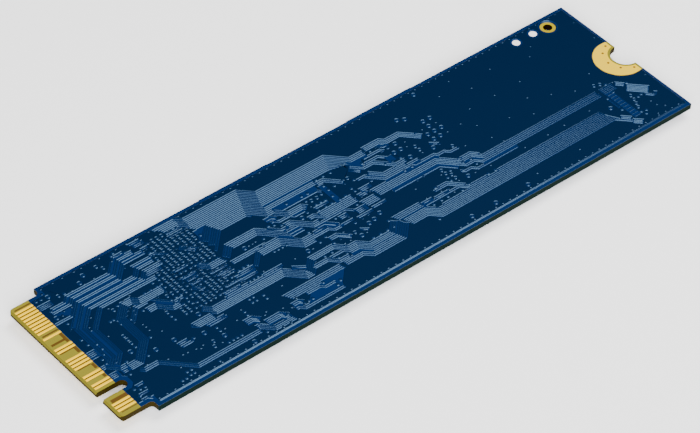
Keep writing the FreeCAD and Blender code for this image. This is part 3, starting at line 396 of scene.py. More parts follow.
def joined(pieces: list[Piece], name: str) -> Piece:
    """Join pieces into one, under a name.

    Args:
        pieces: the pieces, which become one.
        name: name of the joined piece.

    Returns:
        The joined piece.
    """
    deselect()
    for piece in pieces:
        piece.select_set(True)
    bpy.context.view_layer.objects.active = pieces[0]
    if len(pieces) > 1:
        bpy.ops.object.join()
    piece = bpy.context.view_layer.objects.active
    piece.name = name
    return piece


def repeated(pattern: Piece, places: Iterable[Matrix], name: str) -> Piece:
    """Copy a pattern piece to every place, each copy with a mesh of its own, and join the copies.

    Args:
        pattern: the piece that is modelled once, at the origin. It is removed.
        places: where each copy goes.
        name: name of the joined piece.

    Returns:
        The joined piece.
    """
    copies = []
    for place in places:
        mesh = pattern.data.copy()
        mesh.transform(place)
        copies.append(bpy.data.objects.new(name, mesh))
        bpy.context.scene.collection.objects.link(copies[-1])
    bpy.data.objects.remove(pattern)
    return joined(copies, name)


# Finishes

Value = bpy.types.NodeSocket | float | tuple[float, ...]


def linear(red: float, green: float, blue: float) -> tuple[float, float, float, float]:
    """Scene colour for a display colour.

    Args:
        red: red of 0 to 255.
        green: green of 0 to 255.
        blue: blue of 0 to 255.

    Returns:
        The colour, with an alpha of 1.
    """
    def one(value: float) -> float:
        """Scene value for one channel."""
        share = value / 255.0
        return share / 12.92 if share <= 0.04045 else ((share + 0.055) / 1.055) ** 2.4
    return one(red), one(green), one(blue), 1.0


def feed(tree: bpy.types.NodeTree, value: Value, socket: bpy.types.NodeSocket) -> None:
    """Link an output to a socket, or set the socket to a value.

    Args:
        tree: the node tree that holds the socket.
        value: an output, a number or a colour.
        socket: the input that is set.
    """
    if isinstance(value, bpy.types.NodeSocket):
        tree.links.new(value, socket)
    else:
        socket.default_value = value


def reckoned(tree: bpy.types.NodeTree, operation: str, *values: Value) -> bpy.types.NodeSocket:
    """Result of a Math node on sockets or numbers.

    Args:
        tree: the node tree that it is made in.
        operation: what the node works out.
        values: numbers or outputs that it works on.

    Returns:
        The result's output.
    """
    node = tree.nodes.new("ShaderNodeMath")
    node.operation = operation
    for value, socket in zip(values, node.inputs):
        feed(tree, value, socket)
    return node.outputs[0]


def mixed(tree: bpy.types.NodeTree, share: Value, first: Value, second: Value) -> bpy.types.NodeSocket:
    """Colour between two colours.

    Args:
        tree: the node tree that it is made in.
        share: share of the second colour.
        first: colour or socket.
        second: colour or socket.

    Returns:
        The mixed colour's socket.
    """
    node = tree.nodes.new("ShaderNodeMix")
    node.data_type = "RGBA"
    for value, name in ((share, "Factor"), (first, "A"), (second, "B")):
        feed(tree, value, node.inputs[name])
    return node.outputs["Result"]


def axis_size(tree: bpy.types.NodeTree, kind: str, output: str, axis: str) -> bpy.types.NodeSocket:
    """Size of one axis of the vector that a new node of some kind puts out.

    Args:
        tree: the node tree that it is made in.
        kind: type of the node that knows the vector.
        output: name of that node's output.
        axis: X, Y or Z.

    Returns:
        The size's output.
    """
    source = tree.nodes.new(kind)
    parts = tree.nodes.new("ShaderNodeSeparateXYZ")
    tree.links.new(source.outputs[output], parts.inputs[0])
    return reckoned(tree, "ABSOLUTE", parts.outputs[axis])


class Effect(Enum):
    """Shared effects, each a node group that is built once."""

    DRIFT = "colour drift"
    RIPPLE = "surface ripple"
    WEAVE = "glass weave"


@dataclass(frozen=True)
class EffectGroups:
    """Settings of the shared effects, and the functions that build them."""

    drift_detail: float = 4.0
    ripple_detail: float = 3.0
    weave_pitch: float = 2400.0
    weave_wobble: float = 0.6
    weave_detail: float = 1.0

    def all(self) -> dict[Effect, bpy.types.NodeTree]:
        """Build every effect."""
        return {Effect.DRIFT: self.drift(), Effect.RIPPLE: self.ripple(), Effect.WEAVE: self.weave()}

    def group(self, effect: Effect, inputs: dict[str, str], output: str, kind: str) -> bpy.types.NodeTree:
        """Node group with named inputs and one output.

        Args:
            effect: which effect the group makes.
            inputs: socket type of each input, by its name.
            output: name of the output.
            kind: socket type of the output.

        Returns:
            The group, with its input and output nodes named In and Out.
        """
        tree = bpy.data.node_groups.new(effect.value, "ShaderNodeTree")
        for name, socket_type in inputs.items():
            tree.interface.new_socket(name=name, in_out="INPUT", socket_type=socket_type)
        tree.interface.new_socket(name=output, in_out="OUTPUT", socket_type=kind)
        tree.nodes.new("NodeGroupInput").name = "In"
        tree.nodes.new("NodeGroupOutput").name = "Out"
        return tree

    def noise(self, tree: bpy.types.NodeTree, detail: float) -> bpy.types.NodeSocket:
        """Noise over the piece, at the scale that the group is given.

        Args:
            tree: the effect's node group.
            detail: how many finer layers the noise has.

        Returns:
            The noise's output.
        """
        spot = tree.nodes.new("ShaderNodeTexCoord")
        noise = tree.nodes.new("ShaderNodeTexNoise")
        noise.inputs["Detail"].default_value = detail
        tree.links.new(spot.outputs["Object"], noise.inputs["Vector"])
        tree.links.new(tree.nodes["In"].outputs["Scale"], noise.inputs["Scale"])
        return noise.outputs["Fac"]

    def drift(self) -> bpy.types.NodeTree:
        """Colour that drifts between two tones over the surface.

        Returns:
            The node group.
        """
        tree = self.group(Effect.DRIFT, {"Base": "NodeSocketColor", "Other": "NodeSocketColor",
                                         "Scale": "NodeSocketFloat", "Amount": "NodeSocketFloat"},
                          "Color", "NodeSocketColor")
        given = tree.nodes["In"].outputs
        share = reckoned(tree, "MULTIPLY", self.noise(tree, self.drift_detail), given["Amount"])
        colour = mixed(tree, share, given["Base"], given["Other"])
        tree.links.new(colour, tree.nodes["Out"].inputs["Color"])
        return tree

    def ripple(self) -> bpy.types.NodeTree:
        """Fine unevenness of a coated or cast surface, as a normal.

        Returns:
            The node group.
        """
        tree = self.group(Effect.RIPPLE, {"Scale": "NodeSocketFloat", "Strength": "NodeSocketFloat",
                                          "Depth": "NodeSocketFloat"}, "Normal", "NodeSocketVector")
        given = tree.nodes["In"].outputs
        bump = tree.nodes.new("ShaderNodeBump")
        tree.links.new(self.noise(tree, self.ripple_detail), bump.inputs["Height"])
        tree.links.new(given["Strength"], bump.inputs["Strength"])
        tree.links.new(given["Depth"], bump.inputs["Distance"])
        tree.links.new(bump.outputs["Normal"], tree.nodes["Out"].inputs["Normal"])
        return tree

    def weave(self) -> bpy.types.NodeTree:
        """Crossed threads of the glass cloth in a laminate, as a mask.

        Returns:
            The node group.
        """
        tree = self.group(Effect.WEAVE, {"Pitch": "NodeSocketFloat"}, "Mask", "NodeSocketFloat")
        spot = tree.nodes.new("ShaderNodeTexCoord")
        threads = []
        for direction in ("X", "Y"):
            wave = tree.nodes.new("ShaderNodeTexWave")
            wave.bands_direction = direction
            wave.inputs["Distortion"].default_value = self.weave_wobble
            wave.inputs["Detail"].default_value = self.weave_detail
            tree.links.new(spot.outputs["Object"], wave.inputs["Vector"])
            tree.links.new(tree.nodes["In"].outputs["Pitch"], wave.inputs["Scale"])
            threads.append(wave.outputs["Fac"])
        tree.links.new(reckoned(tree, "MULTIPLY", *threads), tree.nodes["Out"].inputs["Mask"])
        return tree


GROUPS = EffectGroups()
EFFECTS = GROUPS.all()


@dataclass(frozen=True)
class Finish:
    """One finish: a base colour that drifts to another, with a rippled surface.

    Args:
        name: name of the material.
        colour: display colour of 0 to 255.
        other: display colour that it drifts to.
        tint_of_shine: colour of the reflections, as shares of 1.
        drift_scale: how fine the drift is, in spots per metre.
        drift: how far the colour drifts.
        ripple_scale: how fine the ripple is, in spots per metre.
        ripple: how strong the ripple is.
        ripple_depth: depth of the ripple in metres.
    """

    name: str
    colour: Colour
    other: Colour
    metallic: float = 0.0
    roughness: float = 0.4
    coat: float = 0.0
    coat_roughness: float = 0.1
    specular: float = 0.5
    tint_of_shine: Colour = (1.0, 1.0, 1.0)
    drift_scale: float = 400.0
    drift: float = 0.6
    ripple_scale: float = 4000.0
    ripple: float = 0.15
    ripple_depth: float = 1e-5

    def effect(self, tree: bpy.types.NodeTree, effect: Effect, **values: Value) -> bpy.types.NodeSocket:
        """Place a shared effect in a material.

        Args:
            tree: the material's node tree.
            effect: which effect it is.
            values: value of each input, by its name.

        Returns:
            The effect's output.
        """
        node = tree.nodes.new("ShaderNodeGroup")
        node.node_tree = EFFECTS[effect]
        for name, value in values.items():
            node.inputs[name].default_value = value
        return node.outputs[0]

    def material(self) -> bpy.types.Material:
        """Build the material, or give the one that is there.

        Returns:
            The material of this finish.
        """
        known = bpy.data.materials.get(self.name)
        if known:
            return known
        material = bpy.data.materials.new(self.name)
        material.use_nodes = True
        tree = material.node_tree
        shader = tree.nodes["Principled BSDF"]
        settings = {"Metallic": self.metallic, "Roughness": self.roughness, "Coat Weight": self.coat,
                    "Coat Roughness": self.coat_roughness, "Specular IOR Level": self.specular,
                    "Specular Tint": (*self.tint_of_shine, 1.0)}
        for name, value in settings.items():
            shader.inputs[name].default_value = value
        colour = self.effect(tree, Effect.DRIFT, Base=linear(*self.colour), Other=linear(*self.other),
                             Scale=self.drift_scale, Amount=self.drift)
        normal = self.effect(tree, Effect.RIPPLE, Scale=self.ripple_scale, Strength=self.ripple,
                             Depth=self.ripple_depth)
        tree.links.new(normal, shader.inputs["Normal"])
        tree.links.new(self.tint(tree, colour), shader.inputs["Base Color"])
        return material

    def tint(self, tree: bpy.types.NodeTree, colour: bpy.types.NodeSocket) -> bpy.types.NodeSocket:
        """Colour that reaches the shader."""
        return colour


@dataclass(frozen=True)
class SideShadedFinish(Finish):
    """Finish whose upright sides are darkened by painted shade.

    Args:
        side: display colour of the sides, darkened as painted shade.
        steepness: how quickly that colour gives way as a face turns up.
    """

    side: Colour = (6, 14, 12)
    steepness: float = 1.0

    def tint(self, tree: bpy.types.NodeTree, colour: bpy.types.NodeSocket) -> bpy.types.NodeSocket:
        """Paint shade on the upright sides.

        Args:
            tree: the material's node tree.
            colour: colour of the faces.

        Returns:
            The colour with painted shade on the sides.
        """
        # Painted shade: the more upright a face, the more of the side colour it takes.
        upward = axis_size(tree, "ShaderNodeNewGeometry", "True Normal", "Z")
        share = reckoned(tree, "POWER", upward, self.steepness)
        return mixed(tree, share, self.shaded_side_colour(tree), colour)

    def shaded_side_colour(self, tree: bpy.types.NodeTree) -> Value:
        """Colour of the sides, darkened as painted shade."""
        return linear(*self.side)


@dataclass(frozen=True)
class LaminateFinish(SideShadedFinish):
    """Olive glass cloth laminate whose cut sides are darker: their own brown and green, deepened by painted
    shade.

    Args:
        thread: display colour of the cloth's threads.
        wall: display colour of the walls inside the card's outline, a brown deepened by painted shade.
        long_edge: distance of the long edges from the middle line at least, in millimetres.
    """

    thread: Colour = (96, 84, 16)
    wall: Colour = (38, 30, 4)
    long_edge: float = 10.8

    def tint(self, tree: bpy.types.NodeTree, colour: bpy.types.NodeSocket) -> bpy.types.NodeSocket:
        """Add the threads of the cloth to the faces, under the colour and painted shade of the sides.

        Args:
            tree: the material's node tree.
            colour: colour of the faces.

        Returns:
            The colour with threads, and with painted shade on the sides.
        """
        weave = self.effect(tree, Effect.WEAVE, Pitch=GROUPS.weave_pitch)
        return super().tint(tree, mixed(tree, weave, colour, linear(*self.thread)))

    def shaded_side_colour(self, tree: bpy.types.NodeTree) -> Value:
        """Brown on the walls inside the card's outline, and dark green on its long edges, both deepened by
        painted shade.

        Args:
            tree: the material's node tree.

        Returns:
            The socket of that colour.
        """
        away = axis_size(tree, "ShaderNodeTexCoord", "Object", "Y")
        outer = reckoned(tree, "GREATER_THAN", away, self.long_edge * MM)
        return mixed(tree, outer, linear(*self.wall), linear(*self.side))


MASK_TINT = (0.3, 0.56, 0.81)
# Laminate: its long edges are a near-black green, their own green deepened by painted shade.
LAMINATE = LaminateFinish("olive_laminate", (120, 114, 40), (110, 102, 32), roughness=0.5, specular=0.02,
                          side=(0, 18, 12))
MASK = Finish("blue_mask", (0, 28, 68), (0, 23, 60), roughness=0.2, specular=0.75, tint_of_shine=MASK_TINT)
GROUND = Finish("mask_over_ground", (0, 19, 44), (0, 20, 46), roughness=0.2, specular=0.65,
                tint_of_shine=MASK_TINT)
TRACK = Finish("mask_over_tracks", (0, 24, 56), (0, 20, 48), roughness=0.25, specular=0.8,
               tint_of_shine=MASK_TINT)
GOLD = Finish("pale_gold", (232, 194, 26), (226, 184, 16), metallic=0.3, roughness=0.45, specular=0.15,
              drift_scale=900.0)
# Contacts: their flanks are brown, painted shade between neighbouring contacts.
CONTACT_GOLD = SideShadedFinish("contact_gold", (232, 188, 0), (224, 178, 0), metallic=0.1, roughness=0.45,
                           specular=0.0, drift_scale=900.0, side=(70, 34, 4), steepness=4.0)
# Plated hole: the dark brown of its bore is painted shade inside the hole.
HOLE_GOLD = SideShadedFinish("hole_gold", (170, 150, 20), (160, 138, 14), metallic=0.35, roughness=0.45,
                        specular=0.1, side=(20, 8, 0), steepness=2.0)
TIN = Finish("bright_tin", (236, 232, 228), (214, 210, 206), metallic=1.0, roughness=0.3)
# Tin of the test pads, near white and barely metallic: its bright reflection is painted into the colour.
TIN_WITH_PAINTED_SHINE = Finish("levelled_tin_with_painted_shine", (250, 244, 240), (244, 236, 230), metallic=0.1, roughness=0.4)
SOLDER = Finish("satin_solder", (205, 206, 210), (178, 180, 184), metallic=1.0, roughness=0.42)
MOULD = Finish("black_mould", (20, 20, 22), (28, 28, 30), roughness=0.62, ripple_scale=9000.0, ripple=0.5,
               ripple_depth=2e-5)
CERAMIC = Finish("brown_ceramic", (130, 94, 62), (114, 80, 50), roughness=0.5)
RESISTOR = Finish("black_glaze", (14, 14, 16), (20, 20, 22), roughness=0.3, coat=0.3)
FERRITE = Finish("grey_ferrite", (44, 44, 48), (34, 34, 38), roughness=0.7, ripple=0.5)
TUB = Finish("dark_tub", (70, 58, 48), (60, 48, 40), roughness=0.6)
# Inner copper's brown, seen through the tongue; the same brown is painted shade in the gaps between the
# contacts.
INNER_COPPER_AND_GAP_SHADE = Finish("copper_under_laminate_and_gap_shade", (78, 56, 16), (70, 48, 10), roughness=0.5, specular=0.1)
DIMPLE = Finish("dimple_shade", (120, 76, 18), (96, 58, 10), metallic=0.5, roughness=0.5)
FLOOR = Finish("pale_floor", (250, 250, 250), (248, 248, 248), roughness=0.9, ripple=0.0)


def dress(piece: Piece, finish: Finish) -> None:
    """Give a piece one finish all over.

    Args:
        piece: the piece, new or of the frame.
        finish: what it is made of.
    """
    piece.data.materials.clear()
    piece.data.materials.append(finish.material())
    piece.data.polygons.foreach_set("material_index", [0] * len(piece.data.polygons))


def dress_node(node: str, finish: Finish) -> None:
    """Give a node of the frame one finish all over."""
    dress(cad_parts[node], finish)


def seat(piece: Piece, finish: Finish, replaced: tuple[str, ...] = ()) -> None:
    """Finish a new piece and let it ride on the card.

    Args:
        piece: the finished mesh.
        finish: what it is made of.
        replaced: nodes that it stands for.
    """
    dress(piece, finish)
    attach(piece, "root")
    if replaced:
        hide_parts(*replaced)
    LOG.info("%s: %d faces", piece.name, len(piece.data.polygons))


def seat_rounded(node: str, width: float, segments: int, finish: Finish) -> None:
    """Stand a copy with rounded edges in for a node.

    Args:
        node: the node of sharp-edged solids.
        width: width of the rounding in millimetres.
        segments: faces across the rounding.
        finish: what the solids are made of.
    """
    piece = copy_of(node, "rounded_" + node)
    rounded(piece, width, segments)
    seat(piece, finish, (node,))


# The card's layers

@dataclass(frozen=True)
class Strip:
    """Brown strip on the tongue, used for inner copper and for painted shade between contacts: its start and
    end along the tongue, its middle across it, and its width.
    """

    start: float
    end: float
    across: float
    width: float


@dataclass
class CardLayers:
    """Laminate and the two films of solder mask, in millimetres.

    Args:
        strip_lift: height of a brown strip over the laminate.
        strips: inner copper beside the contacts.
        gap_span: start and end of the painted shade between neighbouring contacts.
        widest_gap: width that a gap between neighbouring contacts has at most.
        shoulder: inner corner of the films where the tongue begins.
        corner_radius: radius of the laminate's rounding at that corner.
        corner_sides: sides of a whole circle of that rounding.
    """

    strip_lift: float = 0.004
    strips: tuple[Strip, ...] = (
        Strip(0.45, 2.45, 9.42, 0.2), Strip(0.45, 2.45, 4.45, 0.22), Strip(0.45, 2.1, 2.82, 0.32),
        Strip(2.08, 2.45, 3.1, 1.6), Strip(0.45, 2.1, 1.28, 0.2), Strip(2.08, 2.45, 0.85, 1.0),
        Strip(0.5, 2.1, -1.76, 0.14), Strip(2.1, 2.45, -2.2, 0.8), Strip(2.1, 2.45, -3.95, 0.45),
        Strip(0.5, 2.5, -7.5, 0.5), Strip(0.5, 2.5, -9.33, 0.12))
    gap_span: Point = (0.3, 2.45)
    widest_gap: float = 0.3
    shoulder: Point = (4.0, 9.925)
    corner_radius: float = 0.5
    corner_sides: int = 48

    def build(self) -> None:
        """Dress the layers, add the inner copper that shows through the tongue, and paint shade in the gaps
        between the contacts.
        """
        dress_node("board_laminate", LAMINATE)
        for node in FILMS:
            dress_node(node, MASK)
        # The strips between the contacts are painted shade in the inner copper's brown.
        strips = [self.strip(strip) for strip in (*self.strips, *self.contact_gap_shades())]
        seat(joined(strips, "inner_copper_and_gap_shade_of_tongue"), INNER_COPPER_AND_GAP_SHADE)
        corners = [self.film_corner(node, side) for node in FILMS for side in (-1, 1)]
        seat(joined(corners, "film_corners"), MASK)

    def film_corner(self, node: str, side: int) -> Piece:
        """Carry a film over the laminate's rounded inner corner at a shoulder.

        Args:
            node: the film's node.
            side: 1 for the long edge at +Y and -1 for the other.

        Returns:
            The piece of film, as thick as the rest.
        """
        low, high = (corner.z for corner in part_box(node))
        (along, across), reach = self.shoulder, self.corner_radius
        piece = block(card(along - reach / 2, side * (across + reach / 2), (low + high) / 2),
                      (reach * MM, reach * MM, high - low))
        cut(piece, drum(reach, CUTTER_LENGTH, self.corner_sides,
                        card(along - reach, side * (across + reach), (low + high) / 2)))
        return piece

    def contact_gap_shades(self) -> list[Strip]:
        """Strips of painted shade between neighbouring contacts.

        Returns:
            The strips, each as wide as its gap.
        """
        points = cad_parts["edge_contacts_bare_side"].data.vertices
        rows = sorted({round(point.co.y / MM, 3) for point in points})
        return [Strip(*self.gap_span, (low + high) / 2, high - low)
                for low, high in zip(rows[1::2], rows[2::2]) if high - low < self.widest_gap]

    def strip(self, strip: Strip) -> Piece:
        """Brown strip on the tongue, for inner copper that shows through the laminate and for painted shade
        between the contacts.
        """
        middle = card((strip.start + strip.end) / 2, strip.across, LAMINATE_TOP + self.strip_lift / 2 * MM)
        return block(middle, ((strip.end - strip.start) * MM, strip.width * MM, self.strip_lift * MM))


# Raised copper of the bare face, with the mask draped over it

@dataclass
class Relief:
    """Tracks and ground copper, whose flanks slope down to the film, in millimetres and degrees.

    Args:
        crown: width of the rounding at the top of a flank.
        shoulder_drop: drop of that rounding.
        foot: how far a flank reaches out at its foot.
        flank_angle: edges sharper than this stay sharp.
        steepest: least upward part of the normal of a face that stays.
    """

    crown: float = 0.045
    shoulder_drop: float = 0.016
    foot: float = 0.036
    flank_angle: float = 10.0
    steepest: float = 0.6

    def build(self) -> None:
        """Drape every group of tracks and the ground copper."""
        for node in TRACK_NODES:
            self.drape(node, TRACK)
        self.drape(GROUND_NODE, GROUND)

    def drape(self, node: str, finish: Finish) -> None:
        """Replace a node of raised copper by one with sloping, rounded flanks.

        The ground copper's top is cut into triangles before its inset, because a wide face with many
        openings folds over itself where its webs are thin.

        Args:
            node: the node of upright solids.
            finish: the mask's colour over that copper.
        """
        is_ground = node == GROUND_NODE
        piece = copy_of(node, "draped_" + node, single_faces=not is_ground)
        if is_ground:
            SmallRelief().cut_clearances(piece)
        middle = (FILM_TOP + COPPER_TOP) / 2
        with edited(piece, faces=lambda face: face.normal.z < -LEVEL_NORMAL):
            bpy.ops.mesh.delete(type="ONLY_FACE")
        with edited(piece, points=lambda point: point.co.z < middle):
            bpy.ops.transform.shrink_fatten(value=self.foot * MM, use_even_offset=True)
        with edited(piece, faces=lambda face: face.normal.z > LEVEL_NORMAL):
            if is_ground:
                bpy.ops.mesh.quads_convert_to_tris(quad_method="BEAUTY", ngon_method="BEAUTY")
            bpy.ops.mesh.inset(thickness=self.crown * MM, depth=0.0, use_boundary=True, use_even_offset=True)
        inner = {index for face in piece.data.polygons if face.select for index in face.vertices}
        bpy.ops.object.mode_set(mode="EDIT")
        bpy.ops.mesh.region_to_loop()
        bpy.ops.mesh.mark_sharp()
        bpy.ops.object.mode_set(mode="OBJECT")
        with edited(piece, points=lambda point: point.co.z > middle and point.index not in inner):
            bpy.ops.transform.translate(value=(0.0, 0.0, -self.shoulder_drop * MM))
        with edited(piece, faces=lambda face: face.normal.z < self.steepest):
            bpy.ops.mesh.delete(type="FACE")
        smooth(piece, self.flank_angle)
        seat(piece, finish, (node,))


# Small relief of the bare face

@dataclass(frozen=True)
class Stub:
    """Short tracks side by side: how many, the course of the first in millimetres, and their pitch."""

    count: int
    course: tuple[Point, ...]
    pitch: float = 0.25

    def track(self, number: float) -> list[Point]:
        """Course of one of the tracks, the later ones to the right of the first.

        Args:
            number: which track, from 0, or a place between two of them.

        Returns:
            The track's course.
        """
        (x0, y0), (x1, y1) = self.course[0], self.course[1]
        run = math.hypot(x1 - x0, y1 - y0)
        step_x, step_y = (y1 - y0) / run * self.pitch, -(x1 - x0) / run * self.pitch
        return [(x + step_x * number, y + step_y * number) for x, y in self.course]

    def middle(self) -> list[Point]:
        """Course of the group's middle line."""
        return self.track((self.count - 1) / 2)


STUBS: tuple[Stub, ...] = (
    Stub(3, ((2.55, 8.24), (4.2, 8.24)), 0.225), Stub(3, ((2.55, -0.52), (3.55, -0.52))),
    Stub(1, ((2.55, -1.4), (3.5, -1.4))), Stub(3, ((2.55, -4.47), (3.45, -4.47))),
    Stub(2, ((4.05, -4.74), (4.7, -4.74)), 0.225), Stub(1, ((3.9, -7.35), (4.7, -7.35))),
    Stub(1, ((3.25, -8.8), (3.45, -8.6), (4.4, -8.6))),
    Stub(1, ((3.3, -9.35), (3.8, -9.35), (4.2, -9.75))), Stub(1, ((11.0, -5.24), (12.05, -5.24))),
    Stub(1, ((11.1, -5.79), (12.4, -5.79), (12.65, -5.54))), Stub(2, ((14.6, 5.3), (16.5, 5.3))),
    Stub(1, ((15.9, 10.0), (17.2, 10.0))), Stub(2, ((16.2, 9.65), (17.4, 9.65))),
    Stub(1, ((16.65, 8.62), (17.3, 8.62))), Stub(2, ((17.5, 1.92), (18.75, 1.92))),
    Stub(2, ((20.05, 6.35), (21.25, 5.15))), Stub(2, ((17.4, 0.6), (18.2, -0.2))),
    Stub(1, ((20.2, 1.05), (22.3, 1.05))), Stub(1, ((20.5, 0.38), (22.3, 0.38))),
    Stub(1, ((20.2, 8.88), (22.0, 8.88))), Stub(1, ((47.2, 5.65), (47.75, 5.1), (48.3, 5.1))),
    Stub(1, ((44.4, 4.22), (46.15, 4.22), (46.7, 3.67))), Stub(2, ((42.4, 4.6), (43.25, 3.75))),
    Stub(1, ((29.3, 2.65), (30.35, 1.6), (31.0, 1.6))),
    Stub(1, ((29.9, 3.8), (30.6, 3.8), (30.95, 3.45))),
    Stub(1, ((33.6, -0.5), (34.6, -0.5), (35.5, -1.4))), Stub(1, ((32.9, -0.88), (34.4, -0.88))),
    Stub(3, ((38.7, -0.95), (39.8, -0.95))), Stub(2, ((36.6, -0.75), (37.5, -0.75))),
    Stub(1, ((36.2, -1.87), (37.5, -1.87))), Stub(1, ((38.2, -2.05), (40.1, -2.05))),
    Stub(1, ((40.5, -1.78), (42.2, -1.78))), Stub(2, ((41.2, 1.32), (42.5, 1.32))),
    Stub(1, ((35.4, 2.0), (37.1, 2.0))), Stub(2, ((40.5, 0.72), (41.25, 0.72), (41.4, 0.57))),
    Stub(2, ((33.6, -2.62), (34.5, -2.62), (35.6, -3.72))), Stub(1, ((15.0, -4.8), (17.3, -4.8))),
    Stub(1, ((15.15, -5.1), (17.45, -5.1))), Stub(1, ((19.4, -2.35), (21.4, -2.35))),
    Stub(1, ((24.4, -2.65), (26.9, -2.65))), Stub(1, ((21.9, -1.83), (24.15, -1.83))),
    Stub(1, ((22.6, -0.86), (24.2, -0.86))), Stub(1, ((21.9, -1.11), (24.3, -1.11))),
    Stub(2, ((24.05, -8.0), (24.8, -8.0), (25.05, -8.25))),
    Stub(3, ((20.3, -8.2), (22.0, -8.2), (22.35, -8.55))),
    Stub(2, ((22.25, -8.98), (22.85, -8.98)), 0.225),
    Stub(3, ((18.5, -6.85), (19.3, -6.85), (19.8, -7.35))),
    Stub(1, ((53.4, -1.68), (54.65, -1.68), (55.3, -2.33))), Stub(1, ((45.3, -4.68), (46.4, -4.68))),
    Stub(1, ((46.9, -4.87), (48.6, -4.87))), Stub(1, ((20.1, 8.35), (21.9, 8.35))),
    Stub(1, ((17.2, 2.28), (19.0, 2.28))), Stub(1, ((17.5, 1.0), (18.9, 1.0))),
    Stub(1, ((20.9, -0.15), (22.4, -0.15))), Stub(1, ((17.3, 3.7), (18.9, 3.7))),
    Stub(1, ((52.2, 2.3), (52.9, 1.75))), Stub(1, ((37.2, -3.65), (37.8, -4.1))),
    Stub(1, ((27.6, -3.65), (28.8, -4.5))), Stub(1, ((13.6, 9.5), (14.4, 9.5))))

# Pads, each by the bright spot on its near flank, and vias that the ground copper covers,
# in millimetres from the card edge and from the middle line

